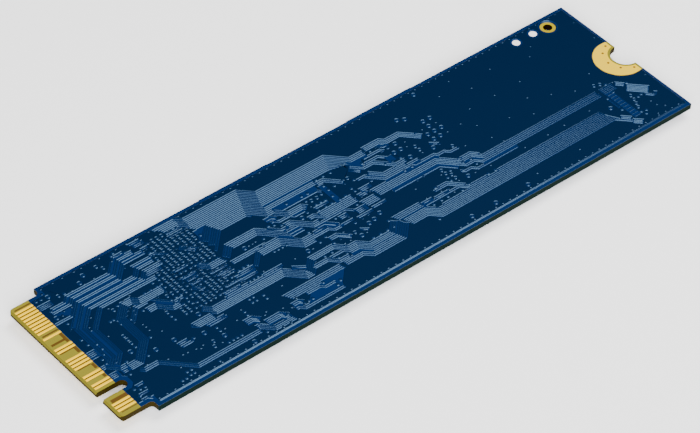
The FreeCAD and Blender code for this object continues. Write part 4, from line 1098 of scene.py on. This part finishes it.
PADS: tuple[Point, ...] = (
    (4.35, 8.75), (5.3, 8.2), (6.0, 8.15), (8.2, 8.35), (9.15, 9.1), (11.05, 9.3), (11.55, 8.7),
    (3.3, 6.85), (3.2, 5.6), (3.6, 4.3), (3.4, 3.4), (3.3, 1.45), (3.4, 0.45), (4.2, 0.0), (2.9, 9.0),
    (3.5, 8.95), (7.7, 1.75), (8.6, 2.85), (9.3, 3.2), (7.3, 1.75), (7.9, 1.45), (7.9, 0.8), (9.7, 1.9),
    (10.2, 2.2), (10.2, 1.6), (10.0, 1.05), (9.2, 1.4), (9.2, 0.75), (9.2, 0.1), (12.7, 2.9), (13.5, 2.9),
    (14.35, 2.9), (13.3, 9.7), (13.7, 9.95), (14.8, 9.25), (13.35, 7.3), (11.0, 0.95), (14.6, 1.7),
    (13.5, 1.6), (15.1, 3.6), (7.1, -0.9), (7.1, -1.55), (7.1, -2.2), (7.1, -2.85), (6.3, -3.2),
    (8.55, -4.6), (7.4, -4.7), (9.2, -2.7), (10.9, -4.65), (12.8, -0.3), (12.8, -0.95), (12.8, -1.6),
    (12.85, -2.2), (12.7, -5.6), (14.0, -5.8), (14.0, -7.35), (13.65, -8.0), (9.1, -9.1), (9.15, -9.65),
    (9.65, -9.1), (9.65, -9.65), (7.95, -9.8), (8.5, -9.8), (12.75, -9.95), (4.25, -0.9), (3.9, -1.65),
    (3.3, -2.2), (3.3, -2.9), (4.35, -2.75), (4.2, -3.4), (5.1, -4.0), (5.05, -5.3), (5.7, -5.3),
    (4.3, -5.7), (3.3, -7.7), (3.8, -8.05), (4.4, -8.1), (22.85, 6.35), (25.3, 1.65), (27.85, 1.65),
    (29.5, 2.85), (30.1, 2.6), (31.0, 3.0), (30.7, 2.1), (30.5, 0.5), (31.45, 1.5), (15.75, -0.4),
    (15.75, -1.4), (15.65, -2.2), (15.25, -3.2), (16.35, -0.6), (22.6, -2.55), (23.15, -2.55),
    (23.7, -2.55), (24.25, -2.55), (22.7, -0.6), (23.35, -0.5), (23.95, -0.5), (27.5, -0.65),
    (28.05, -0.65), (28.6, -0.65), (29.2, -0.65), (30.4, -2.95), (20.8, -4.7), (20.8, -5.3),
    (21.35, -4.7), (21.35, -5.3), (22.4, -5.15), (22.4, -5.75), (19.25, -5.9), (19.2, -6.45),
    (15.5, -5.9), (15.5, -6.5), (15.45, -7.4), (15.2, -8.4), (15.75, -8.4), (16.3, -8.4), (16.9, -8.4),
    (17.35, -10.1), (19.3, -9.7), (25.1, -8.8), (25.65, -8.8), (26.2, -8.8), (29.6, -8.85), (30.3, -8.45),
    (28.6, -7.6), (22.65, -9.0), (30.0, -4.6), (31.3, -4.6), (33.25, 4.45), (35.35, 4.35), (36.15, 4.3),
    (35.2, 3.4), (38.3, 4.15), (38.35, 3.35), (39.25, 3.4), (37.25, 3.25), (40.4, 3.5), (40.35, 2.9),
    (41.15, 3.4), (41.55, 2.8), (38.05, 2.3), (35.75, 2.3), (36.4, 2.3), (37.0, 2.25), (40.45, 1.9),
    (33.2, 1.5), (34.2, 1.9), (35.4, 1.4), (36.4, 1.4), (37.25, 1.4), (38.35, 1.35), (39.2, 1.4),
    (40.5, 1.35), (43.0, 1.5), (38.25, 5.4), (39.25, 5.4), (40.25, 5.35), (44.0, 4.35), (46.0, 5.35),
    (46.9, 5.4), (46.9, 4.4), (45.95, 2.65), (46.95, 2.5), (41.7, 0.3), (40.5, 0.2), (47.0, 0.5),
    (35.75, 3.05), (36.5, 3.05), (32.3, -0.6), (33.2, -0.6), (36.0, -0.7), (37.3, -0.55), (39.25, -0.45),
    (37.3, -1.4), (32.3, -2.6), (33.3, -2.3), (33.4, -3.6), (34.35, -3.6), (35.6, -3.5), (36.25, -3.8),
    (36.55, -4.65), (38.4, -3.65), (39.25, -3.5), (38.3, -2.6), (39.2, -2.5), (37.25, -2.6),
    (40.35, -3.1), (47.0, -1.65), (31.3, -5.3), (32.3, -4.6), (32.35, -5.7), (33.5, -5.7), (37.3, -5.65),
    (38.3, -5.65), (39.3, -5.65), (40.2, -5.65), (40.3, -4.6), (45.9, -5.7), (47.0, -5.7), (45.9, -6.35),
    (44.85, -7.85), (51.7, 7.4), (52.5, 6.95), (56.05, 9.55), (53.9, 5.4), (54.9, 5.4), (49.0, 4.5),
    (52.0, 4.45), (53.9, 4.4), (48.9, 3.4), (47.95, 3.4), (52.9, 3.4), (53.9, 3.4), (54.9, 3.4),
    (50.45, 2.75), (48.0, 2.4), (53.9, 2.4), (52.95, 2.4), (50.5, 2.05), (48.9, 1.75), (51.95, 1.35),
    (52.9, 1.4), (53.8, 0.25), (48.05, 0.5), (47.9, 4.5), (48.0, -1.55), (50.15, -2.1), (50.2, -2.75),
    (50.95, -2.65), (49.95, -3.35), (50.6, -3.3), (49.95, -3.95), (50.6, -3.95), (47.8, -3.75),
    (48.8, -4.8), (47.95, -5.7), (49.9, -5.9), (51.1, -5.6), (51.9, -4.6), (53.0, -1.7), (52.95, -2.5),
    (54.0, -2.6), (54.0, -3.6), (54.1, -0.35), (52.15, -3.4), (53.9, -5.65), (54.95, -5.65), (47.9, -9.8),
    (51.4, -9.8), (56.15, -9.8), (73.25, -2.05), (73.95, -2.3), (74.5, -2.65), (76.6, -3.9), (73.0, -4.6),
    (74.35, -4.15), (75.4, -5.9), (75.25, -6.6), (76.0, -6.5), (76.55, -6.4), (77.3, -6.4), (77.75, -7.2),
    (75.0, -7.25), (74.75, -7.85), (74.5, -8.6), (75.15, -8.75), (74.75, -9.2), (72.1, -6.1), (73.0, -7.0))

COVERED_VIAS: tuple[Point, ...] = (
    (4.15, 9.7), (9.95, 8.3), (8.6, 8.2), (7.0, 8.2), (13.0, 9.2), (5.5, 6.2), (4.5, 6.2), (4.0, 5.75),
    (6.15, 3.7), (8.4, 3.65), (11.3, 3.85), (10.3, 3.6), (5.95, 0.35), (5.15, 2.6), (9.8, -0.5),
    (9.85, -1.0), (9.85, -1.6), (10.8, -2.5), (10.4, -6.65), (11.0, -6.7), (12.0, -6.85), (12.45, -7.1),
    (12.9, -6.85), (8.8, -6.2), (9.1, -8.0), (14.75, -7.8), (6.6, -5.5), (26.0, 1.95), (26.5, 1.95),
    (26.95, 2.0), (24.8, -2.1), (28.65, -2.7), (31.15, -2.7), (24.95, -5.05), (19.25, -5.2),
    (16.2, -6.35), (17.95, -6.15), (21.15, -7.1), (20.75, -7.4), (22.9, -7.75), (23.7, -8.3),
    (24.95, -7.5), (37.2, 2.6), (35.2, 2.6), (32.6, -3.3), (35.4, -2.7), (34.4, -4.2), (35.2, -4.2),
    (37.4, -4.35), (46.05, -2.35), (46.0, -4.25), (53.05, 4.7), (55.05, 4.65), (50.2, 4.35), (49.85, 3.6),
    (55.05, 2.65), (50.6, 1.75), (49.8, -2.35), (51.15, -2.4), (50.75, -4.25), (48.05, -4.4),
    (49.1, -5.4), (53.05, -4.4), (55.15, -4.6), (55.1, -0.35), (58.3, 7.8), (60.85, 9.1), (62.15, 6.6),
    (66.0, 7.8), (72.4, 7.9), (71.1, 6.6), (59.6, 4.05), (63.4, 4.05), (67.25, 4.05), (57.1, 2.75),
    (58.35, 1.4), (66.0, 1.4), (62.15, 0.15), (68.55, 0.15), (74.45, 0.15), (79.3, 8.0), (79.3, 4.5),
    (58.35, -1.15), (64.75, -1.1), (71.1, -1.1), (59.0, -2.45), (60.15, -4.75), (63.6, -4.75),
    (66.15, -4.7), (70.05, -4.65), (58.35, -8.8), (64.75, -8.8), (79.4, -4.0), (77.5, -9.3),
    (76.85, -8.6), (75.95, -9.8), (76.75, -7.75), (75.5, -2.65))


@dataclass(frozen=True)
class SmallRelief:
    """Pads, covered vias and links, and short tracks, with the clearances that they lie in.

    Args:
        sides: sides of a pad and of its clearance.
        foot: how far a flank reaches out at its foot, as on the long tracks.
        pad_radius: radius of a pad without its flank.
        pad_steps: width and rise of a pad's flank, of its crown and of the dimple over its hole.
        pad_support: share of a pad's radius that lies on ground copper if the pad stands on it.
        pad_sink: how deep such a pad sinks in.
        pad_clearance: clearance of a pad whose neighbours are further off than free_distance.
        close_clearance: clearance of a pad whose neighbours are further off than close_distance.
        thinnest_web: ground copper that is left between two clearances at least.
        web_width: ground copper narrower than this beside a short track is cut away.
        along_shares: where the sides of a short track are tested for such copper.
        across_shares: where its ends are.
        spot_to_centre: step from the bright spot on a pad's near flank to its centre.
        grid_pitch: pitch of the field of pads under the controller.
        grid_start: first place of the field.
        grid_size: columns and lines of the field.
        side_size: columns and lines of the field before its first column.
        field_distance: distance that a pad of the field keeps from the others.
        link_columns: columns of the field whose pads are linked to the next column's.
        link_length: length of a link's foot, and link_width its width.
        link_steps: width and rise of its flank.
        track_width: width of a short track without its flanks.
        track_clearance: clearance on each side of a group of short tracks.
        track_steps: width and rise of their flanks and crowns.
        via_radius: radius of a covered via, which has via_sides and via_steps.
        stitch_pitch: pitch of the even runs of covered vias along both edges.
        edge_places: covered vias along the upper edge that stand at no even pitch.
        upper_row: place across the card of the row at that edge, and lower_row the other's.
        upper_run: start and count of its even run, and lower_run the other's.
        upper_gaps: places along the upper run that have no via within gap_reach.
        slope_span: start and end of the slope at the near margin.
        slope_crest: distance of its crest from the middle line.
        slope_width: width from its crest down to the margin.
        slope_swell: height of its crest over the copper.
        slope_foot: height of its foot over the film.
    """

    sides: int = 12
    foot: float = 0.036
    pad_radius: float = 0.2
    pad_steps: Steps = ((0.06, 0.028), (0.06, 0.02), (0.06, -0.012))
    pad_support: float = 0.6
    pad_sink: float = 0.004
    pad_clearance: float = 0.13
    close_clearance: float = 0.06
    free_distance: float = 0.8
    close_distance: float = 0.63
    thinnest_web: float = 0.1
    web_width: float = 0.16
    along_shares: tuple[float, ...] = (0.1, 0.3, 0.5, 0.7, 0.9)
    across_shares: tuple[float, ...] = (-0.8, 0.0, 0.8)
    spot_to_centre: Point = (0.1, 0.17)
    grid_pitch: float = 0.65
    grid_start: Point = (17.0, -2.05)
    grid_size: tuple[int, int] = (9, 18)
    side_size: tuple[int, int] = (4, 11)
    field_distance: float = 0.45
    link_columns: tuple[int, ...] = (-2, 1, 3, 5, 7)
    link_length: float = 0.3
    link_width: float = 0.17
    link_steps: Steps = ((0.07, 0.026),)
    track_width: float = 0.14
    track_clearance: float = 0.13
    track_steps: Steps = ((0.036, 0.019), (0.045, 0.016))
    via_radius: float = 0.17
    via_sides: int = 10
    via_steps: Steps = ((0.08, 0.03),)
    stitch_pitch: float = 1.03
    edge_places: tuple[float, ...] = (4.5, 6.05, 7.3, 8.85, 9.8, 12.2, 14.4, 15.8, 17.05, 18.85)
    upper_row: float = 10.42
    upper_run: tuple[float, int] = (22.9, 55)
    upper_gaps: tuple[float, ...] = (27.0, 41.2, 50.0)
    gap_reach: float = 0.6
    lower_row: float = -10.08
    lower_run: tuple[float, int] = (4.7, 73)
    slope_span: Point = (4.6, 79.3)
    slope_crest: float = 10.37
    slope_width: float = 0.2
    slope_swell: float = 0.018
    slope_foot: float = 0.002

    def build(self) -> None:
        """Make the small relief. The ground copper is cut first, by cut_clearances."""
        pads = [at(*place, self.pad_level(place)) for place in self.pad_places()]
        seat(repeated(self.pad(), pads, "tented_pads"), TRACK)
        vias = [at(*place, COPPER_TOP) for place in self.via_places()]
        seat(repeated(self.via(), vias, "covered_vias"), GROUND)
        ridges = [self.ridge(stub.track(number)) for stub in STUBS for number in range(stub.count)]
        seat(joined(ridges, "short_tracks"), TRACK)
        links = [at(*place, COPPER_TOP) for place in self.link_places()]
        seat(repeated(self.link(), links, "covered_links"), GROUND)
        seat(self.margin_slope(), TRACK)

    def grid_place(self, column: float, line: float) -> Point:
        """Place in the field of pads under the controller."""
        return self.grid_start[0] + self.grid_pitch * column, self.grid_start[1] + self.grid_pitch * line

    def pad_places(self) -> list[Point]:
        """Centres of the pads, the field under the controller last.

        Returns:
            The centres, without those on a long track.
        """
        places = [(x + self.spot_to_centre[0], y + self.spot_to_centre[1]) for x, y in PADS]
        (columns, lines), (side_columns, side_lines) = self.grid_size, self.side_size
        for first, last, height in ((0, columns, lines), (-side_columns, 0, side_lines)):
            grid = [self.grid_place(column, line) for column in range(first, last) for line in range(height)]
            places += [spot for spot in grid
                       if min(math.dist(spot, other) for other in places) > self.field_distance]
        return [place for place in places if not hit(solid_trees(*TRACK_NODES), place)]

    def pad_level(self, place: Point) -> float:
        """Height that a pad stands on: the film in a clearance or channel, or else the ground copper.

        Args:
            place: the pad's centre.

        Returns:
            The height in metres.
        """
        if any(place in places for places in self.drills().values()):
            return FILM_TOP
        covered = (self.clear_of_stubs(place, self.pad_radius - self.thinnest_web)
                   and self.on_ground(place, self.pad_radius * self.pad_support))
        return COPPER_TOP - self.pad_sink * MM if covered else FILM_TOP

    def on_ground(self, place: Point, reach: float) -> bool:
        """Tell if ground copper lies all round a place, at a distance."""
        trees = solid_trees(GROUND_NODE)
        return all(hit(trees, rim) for rim in ring(place, reach, self.sides))

    @cache
    def drills(self) -> dict[float, list[Point]]:
        """Pads that get a clearance in the ground copper, by the clearance's radius.

        Returns:
            The centres of the pads, for the wide clearance and for the close one.
        """
        places = self.pad_places()
        found = {self.pad_radius + self.pad_clearance: [], self.pad_radius + self.close_clearance: []}
        wide_reach, close_reach = found
        for place in places:
            near = min(math.dist(place, other) for other in places if other is not place)
            reach = wide_reach if near > self.free_distance else close_reach
            if (near > self.close_distance and self.clear_of_stubs(place, reach)
                    and self.on_ground(place, reach + self.thinnest_web)):
                found[reach].append(place)
        return found

    def link_places(self) -> list[Point]:
        """Middles of the links between neighbouring pads of the field under the controller.

        Returns:
            The middles, where both pads are there.
        """
        pads = self.pad_places()
        middles = [self.grid_place(column + 0.5, line)
                   for column in self.link_columns for line in range(self.grid_size[1])]
        reach = self.grid_pitch / 2 + TOLERANCE
        return [spot for spot in middles if sum(math.dist(spot, pad) < reach for pad in pads) == 2]

    def via_places(self) -> list[Point]:
        """Centres of the covered vias, the rows along both edges included.

        Returns:
            The centres.
        """
        (upper_start, upper_count), (lower_start, lower_count) = self.upper_run, self.lower_run
        upper = [upper_start + self.stitch_pitch * step for step in range(upper_count)]
        upper = [x for x in upper if min(abs(x - gap) for gap in self.upper_gaps) > self.gap_reach]
        lower = [lower_start + self.stitch_pitch * step for step in range(lower_count)]
        return [*COVERED_VIAS, *((x, self.upper_row) for x in (*self.edge_places, *upper)),
                *((x, self.lower_row) for x in lower)]

    def cut_clearances(self, ground: Piece) -> None:
        """Cut the clearances of the pads and short tracks out of the ground copper.

        Args:
            ground: copy of the ground copper that is still a closed solid.
        """
        for reach, places in self.drills().items():
            drill = drum(reach, CUTTER_LENGTH, self.sides)
            cut(ground, repeated(drill, [at(*place, COPPER_TOP) for place in places], "drills"))
        for stub in STUBS:
            groove = self.groove_bar(stub)
            take(groove)
            bpy.ops.object.mode_set(mode="EDIT")
            bpy.ops.mesh.select_all(action="SELECT")
            bpy.ops.mesh.extrude_region_move(
                TRANSFORM_OT_translate={"value": (0.0, 0.0, CUTTER_LENGTH * MM)})
            bpy.ops.mesh.select_all(action="SELECT")
            bpy.ops.mesh.normals_make_consistent(inside=False)
            bpy.ops.object.mode_set(mode="OBJECT")
            cut(ground, groove)

    def half_groove(self, stub: Stub) -> float:
        """Half the width of the clearance of a group of short tracks."""
        return ((stub.count - 1) * stub.pitch + self.track_width) / 2 + self.track_clearance

    def clear_of_stubs(self, place: Point, reach: float) -> bool:
        """Tell if a web of ground copper is left between a drilled clearance and every short track's.

        Args:
            place: centre of the clearance.
            reach: radius of the clearance.

        Returns:
            True where a web is left everywhere.
        """
        for stub in STUBS:
            course = [Vector(point) for point in stub.middle()]
            for start, end in zip(course, course[1:]):
                share = intersect_point_line(Vector(place), start, end)[1]
                nearest = start.lerp(end, min(max(share, 0.0), 1.0))
                web = (Vector(place) - nearest.xy).length - self.half_groove(stub) - reach
                if web < self.thinnest_web:
                    return False
        return True

    def groove_bar(self, stub: Stub) -> Piece:
        """Outline of the clearance of a group of short tracks, drawn out over webs too thin to stay.

        Args:
            stub: the group of short tracks.

        Returns:
            The strip under the ground copper's top that the cutter is made from.
        """
        half = self.half_groove(stub)
        course = [Vector(point) for point in lengthened(stub.middle(), self.track_clearance)]
        more = {}
        for side in (-1, 1):
            spots = []
            for start, end in zip(course, course[1:]):
                way = (end - start).normalized()
                across = Vector((way.y, -way.x)) * side
                spots += [(start.lerp(end, share), across) for share in self.along_shares]
            more[side] = self.thin_web(spots, half)
        ends = []
        for tip, inner in ((course[0], course[1]), (course[-1], course[-2])):
            way = (tip - inner).normalized()
            across = Vector((way.y, -way.x)) * half
            spots = [(tip + across * share, way) for share in self.across_shares]
            ends.append(tip + way * self.thin_web(spots, 0.0))
        course = [tuple(point) for point in (ends[0], *course[1:-1], ends[1])]
        moved = Stub(1, tuple(course), 1.0).track((more[1] - more[-1]) / 2)
        return flat_bar(moved, 2 * half + more[1] + more[-1], COPPER_TOP - CUTTER_LENGTH / 2 * MM)

    def thin_web(self, spots: list[tuple[Vector, Vector]], reach: float) -> float:
        """Width of ground copper to cut away beyond a clearance, where it ends shortly beyond some spots.

        Args:
            spots: places in millimetres, each with the direction away from the short track.
            reach: distance of the clearance's edge from each place.

        Returns:
            The width, or 0 where no thin web would stay.
        """
        trees = solid_trees(GROUND_NODE)
        thin = any(hit(trees, spot + way * (reach + TOLERANCE))
                   and not hit(trees, spot + way * (reach + self.web_width)) for spot, way in spots)
        return self.web_width if thin else 0.0

    def pad(self) -> Piece:
        """One pad: a low round swelling with a dimple over its hole."""
        return swollen(disc(self.pad_radius + self.foot, self.sides), self.pad_steps)

    def via(self) -> Piece:
        """One covered via: a slight swelling of the ground copper."""
        return swollen(disc(self.via_radius, self.via_sides), self.via_steps)

    def link(self) -> Piece:
        """One covered link: a low bar along the card, swelling the ground copper.

        Returns:
            The bar, at the middle of the card.
        """
        reach = self.link_length / 2
        bar = flat_bar([(CARD_MIDDLE - reach, 0.0), (CARD_MIDDLE + reach, 0.0)], self.link_width, 0.0)
        return swollen(bar, self.link_steps)

    def ridge(self, course: list[Point]) -> Piece:
        """One short track, with sloping flanks, on the film."""
        return swollen(flat_bar(course, self.track_width + 2 * self.foot, FILM_TOP), self.track_steps)

    def margin_slope(self) -> Piece:
        """Slope of the mask from the ground copper down to the bare margin of the near long edge.

        Returns:
            The slope, a closed solid.
        """
        start, end = self.slope_span
        middle = self.slope_crest + self.slope_width / 2
        crest = COPPER_TOP + self.slope_swell * MM
        piece = block(card((start + end) / 2, -middle, (FILM_TOP + crest) / 2),
                      ((end - start) * MM, self.slope_width * MM, crest - FILM_TOP))
        piece.name = "margin_slope"
        with edited(piece, points=lambda point: point.co.z > crest - TOLERANCE * MM
                    and point.co.y < -middle * MM):
            bpy.ops.transform.translate(value=(0.0, 0.0, FILM_TOP - crest + self.slope_foot * MM))
        return piece


# Bare metal

@dataclass(frozen=True)
class Lip:
    """Swollen edge of the mask round an opening, in millimetres.

    Args:
        centre: centre of the opening.
        radius: radius of the opening.
        width: width of the slope down to the opening.
        foot: height of the slope's inner edge over the film.
    """

    centre: Point
    radius: float
    width: float
    foot: float


@dataclass
class BareMetal:
    """Contacts, notch pads, plated hole and test pads, in millimetres.

    Args:
        contact_rounding: width of the rounding of a contact's edges.
        contact_segments: faces across that rounding.
        dimples: centres of the plated dimples in the notch pad.
        dimple_rim: width of a dimple's level rim.
        dimple_slope: width of the slope inside the rim, and dimple_depth its depth.
        dimple_degrees: edges sharper than this stay sharp.
        lips: the lips round the openings of the two test pads and of the plated hole.
        lip_height: height of a lip's crest over the film.
        lip_fall: width of its steep outer side.
    """

    contact_rounding: float = 0.04
    contact_segments: int = 2
    dimples: tuple[Point, ...] = ((79.25, 2.5), (78.1, 1.75), (77.45, 0.1), (78.0, -1.4), (79.3, -2.3))
    dimple_radius: float = 0.14
    dimple_height: float = 0.02
    dimple_sides: int = 16
    dimple_rim: float = 0.05
    dimple_slope: float = 0.03
    dimple_depth: float = 0.008
    dimple_degrees: float = 50.0
    lips: tuple[Lip, ...] = (Lip((71.5, 9.35), 0.48, 0.24, 0.018), Lip((74.1, 9.35), 0.48, 0.24, 0.018),
                             Lip((76.3, 9.2), 0.95, 0.24, 0.003))
    lip_height: float = 0.065
    lip_fall: float = 0.015
    lip_sides: int = 40

    def build(self) -> None:
        """Round the contacts' edges and dress the bare metal."""
        for node in ("edge_contacts_bare_side", "edge_contacts_component_side"):
            seat_rounded(node, self.contact_rounding, self.contact_segments, CONTACT_GOLD)
        dress_node("mounting_notch_pads", GOLD)
        dress_node("corner_hole_plating", HOLE_GOLD)
        # The test pads are pale tin with a painted reflection.
        dress_node("round_test_pads", TIN_WITH_PAINTED_SHINE)
        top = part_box("mounting_notch_pads")[1].z
        places = [at(*place, top) for place in self.dimples]
        seat(repeated(self.dimple(), places, "notch_pad_dimples"), DIMPLE)
        seat(joined([self.lip(lip) for lip in self.lips], "mask_lips"), MASK)

    def lip(self, lip: Lip) -> Piece:
        """Swollen edge of the mask round an opening, sloping down to the opening.

        Args:
            lip: its place and sizes.

        Returns:
            The ring, its outer foot on the film.
        """
        piece = disc(lip.radius + lip.width + self.lip_fall, self.lip_sides)
        with edited(piece, faces=whole):
            bpy.ops.mesh.inset(thickness=self.lip_fall * MM, depth=self.lip_height * MM)
            bpy.ops.mesh.inset(thickness=lip.width * MM, depth=(lip.foot - self.lip_height) * MM)
            bpy.ops.mesh.delete(type="FACE")
        smooth(piece, SHARP_DEGREES)
        piece.location = card(*lip.centre, FILM_TOP)
        settle(piece)
        return piece

    def dimple(self) -> Piece:
        """One plated dimple: a low ring round a shallow hollow.

        Returns:
            The dimple, at the origin.
        """
        piece = drum(self.dimple_radius, self.dimple_height, self.dimple_sides)
        with edited(piece, faces=lambda face: face.normal.z > LEVEL_NORMAL):
            bpy.ops.mesh.inset(thickness=self.dimple_rim * MM, depth=0.0)
            bpy.ops.mesh.inset(thickness=self.dimple_slope * MM, depth=-self.dimple_depth * MM)
        smooth(piece, self.dimple_degrees)
        return piece


# The hidden face

@dataclass
class HiddenSide:
    """Chips and small parts under the card, with roundings in millimetres."""

    packages: tuple[str, ...] = ("controller_package", "memory_package", "middle_flash_package",
                                 "far_flash_package", "power_management_chip", "boot_flash_chip",
                                 "voltage_regulator")
    balls: tuple[str, ...] = ("controller_solder_balls", "memory_solder_balls", "middle_flash_solder_balls",
                              "far_flash_solder_balls")
    ball_rounding: float = 0.095
    ball_segments: int = 3
    ends: tuple[str, ...] = ("small_capacitors_ends", "chip_resistors_ends", "large_capacitors_ends",
                             "inductor_terminals")
    end_rounding: float = 0.04
    end_segments: int = 2
    finishes: dict[str, Finish] = field(default_factory=lambda: {
        "power_chip_lands": SOLDER, "boot_chip_lands": SOLDER, "crystal_base": TUB, "crystal_lid": TIN,
        "regulator_leads": TIN, "small_capacitors": CERAMIC, "large_capacitors": CERAMIC,
        "chip_resistors": RESISTOR, "power_inductors": FERRITE})

    def build(self) -> None:
        """Dress the parts of the hidden face and round what is soft-edged."""
        for node in self.packages:
            dress_node(node, MOULD)
        for node, finish in self.finishes.items():
            dress_node(node, finish)
        for node in self.balls:
            seat_rounded(node, self.ball_rounding, self.ball_segments, SOLDER)
        for node in self.ends:
            seat_rounded(node, self.end_rounding, self.end_segments, TIN)


# Studio

@dataclass(frozen=True)
class Softbox:
    """Soft light that faces the card, in metres.

    Args:
        name: name of the light.
        place: where its middle stands.
        sides: its length and width.
        brightness: radiance of its face.
    """

    name: str
    place: tuple[float, float, float]
    sides: tuple[float, float]
    brightness: float


@dataclass
class Studio:
    """Pale floor, soft lights and the camera.

    Args:
        floor_metres: side of the floor.
        sky_strength: brightness of the even surroundings.
        softboxes: the soft lights.
        eye: place of the camera in millimetres.
        target: place that it looks at, in millimetres.
        lens: focal length in millimetres, for a film of film_width.
        roll_degrees: how far the camera is rolled.
        sight_metres: nearest and furthest distance that it sees.
    """

    floor_metres: float = 6.0
    sky_strength: float = 0.05
    softboxes: tuple[Softbox, ...] = (
        Softbox("key_softbox", (0.073, 0.0, 0.25), (0.15, 0.186), 9.5),
        Softbox("front_softbox", (-0.45, -0.56, 0.54), (0.6, 0.6), 24.0))
    eye: tuple[float, float, float] = (-172.5, -196.94, 243.92)
    target: tuple[float, float, float] = (-2.48, -1.34, 2.0)
    lens: float = 167.2
    film_width: float = 36.0
    roll_degrees: float = 1.76
    sight_metres: Point = (0.01, 20.0)

    def build(self) -> None:
        """Set up the floor, lights and camera."""
        self.floor()
        for softbox in self.softboxes:
            self.light(softbox)
        self.sky()
        self.camera()

    def floor(self) -> None:
        """Wide pale floor that the chips rest on."""
        deselect()
        bpy.ops.mesh.primitive_plane_add(size=self.floor_metres, location=(0.0, 0.0, CAD_BOX[0].z))
        plane = bpy.context.object
        plane.name = "floor"
        dress(plane, FLOOR)

    def light(self, softbox: Softbox) -> None:
        """Add a softbox that faces the card.

        Args:
            softbox: its name, place, size and brightness.
        """
        lamp = bpy.data.lights.new(softbox.name, "AREA")
        lamp.shape = "RECTANGLE"
        lamp.size, lamp.size_y = softbox.sides
        lamp.energy = softbox.brightness * math.pi * lamp.size * lamp.size_y
        stand = bpy.data.objects.new(softbox.name, lamp)
        stand.location = softbox.place
        stand.rotation_euler = Vector(softbox.place).to_track_quat("Z", "Y").to_euler()
        bpy.context.scene.collection.objects.link(stand)

    def sky(self) -> None:
        """Even pale surroundings."""
        world = bpy.data.worlds.new("studio")
        world.use_nodes = True
        background = world.node_tree.nodes["Background"]
        background.inputs["Color"].default_value = (1.0, 1.0, 1.0, 1.0)
        background.inputs["Strength"].default_value = self.sky_strength
        bpy.context.scene.world = world

    def camera(self) -> None:
        """Camera at the photograph's viewing angle."""
        data = bpy.data.cameras.new("camera")
        data.lens = self.lens
        data.sensor_width = self.film_width
        data.clip_start, data.clip_end = self.sight_metres
        eye, target = Vector(self.eye) * MM, Vector(self.target) * MM
        stand = bpy.data.objects.new("camera", data)
        stand.location = eye
        aim = (target - eye).to_track_quat("-Z", "Y").to_matrix().to_4x4()
        stand.rotation_euler = (aim @ Matrix.Rotation(math.radians(self.roll_degrees), 4, "Z")).to_euler()
        bpy.context.scene.collection.objects.link(stand)
        bpy.context.scene.camera = stand


def main() -> None:
    """Build the sub-assemblies in order."""
    logging.basicConfig(level=logging.INFO, format="%(message)s")
    for assembly in (CardLayers(), Relief(), SmallRelief(), BareMetal(), HiddenSide(), Studio()):
        LOG.info("building %s", type(assembly).__name__)
        assembly.build()


if __name__ == "__main__":
    main()
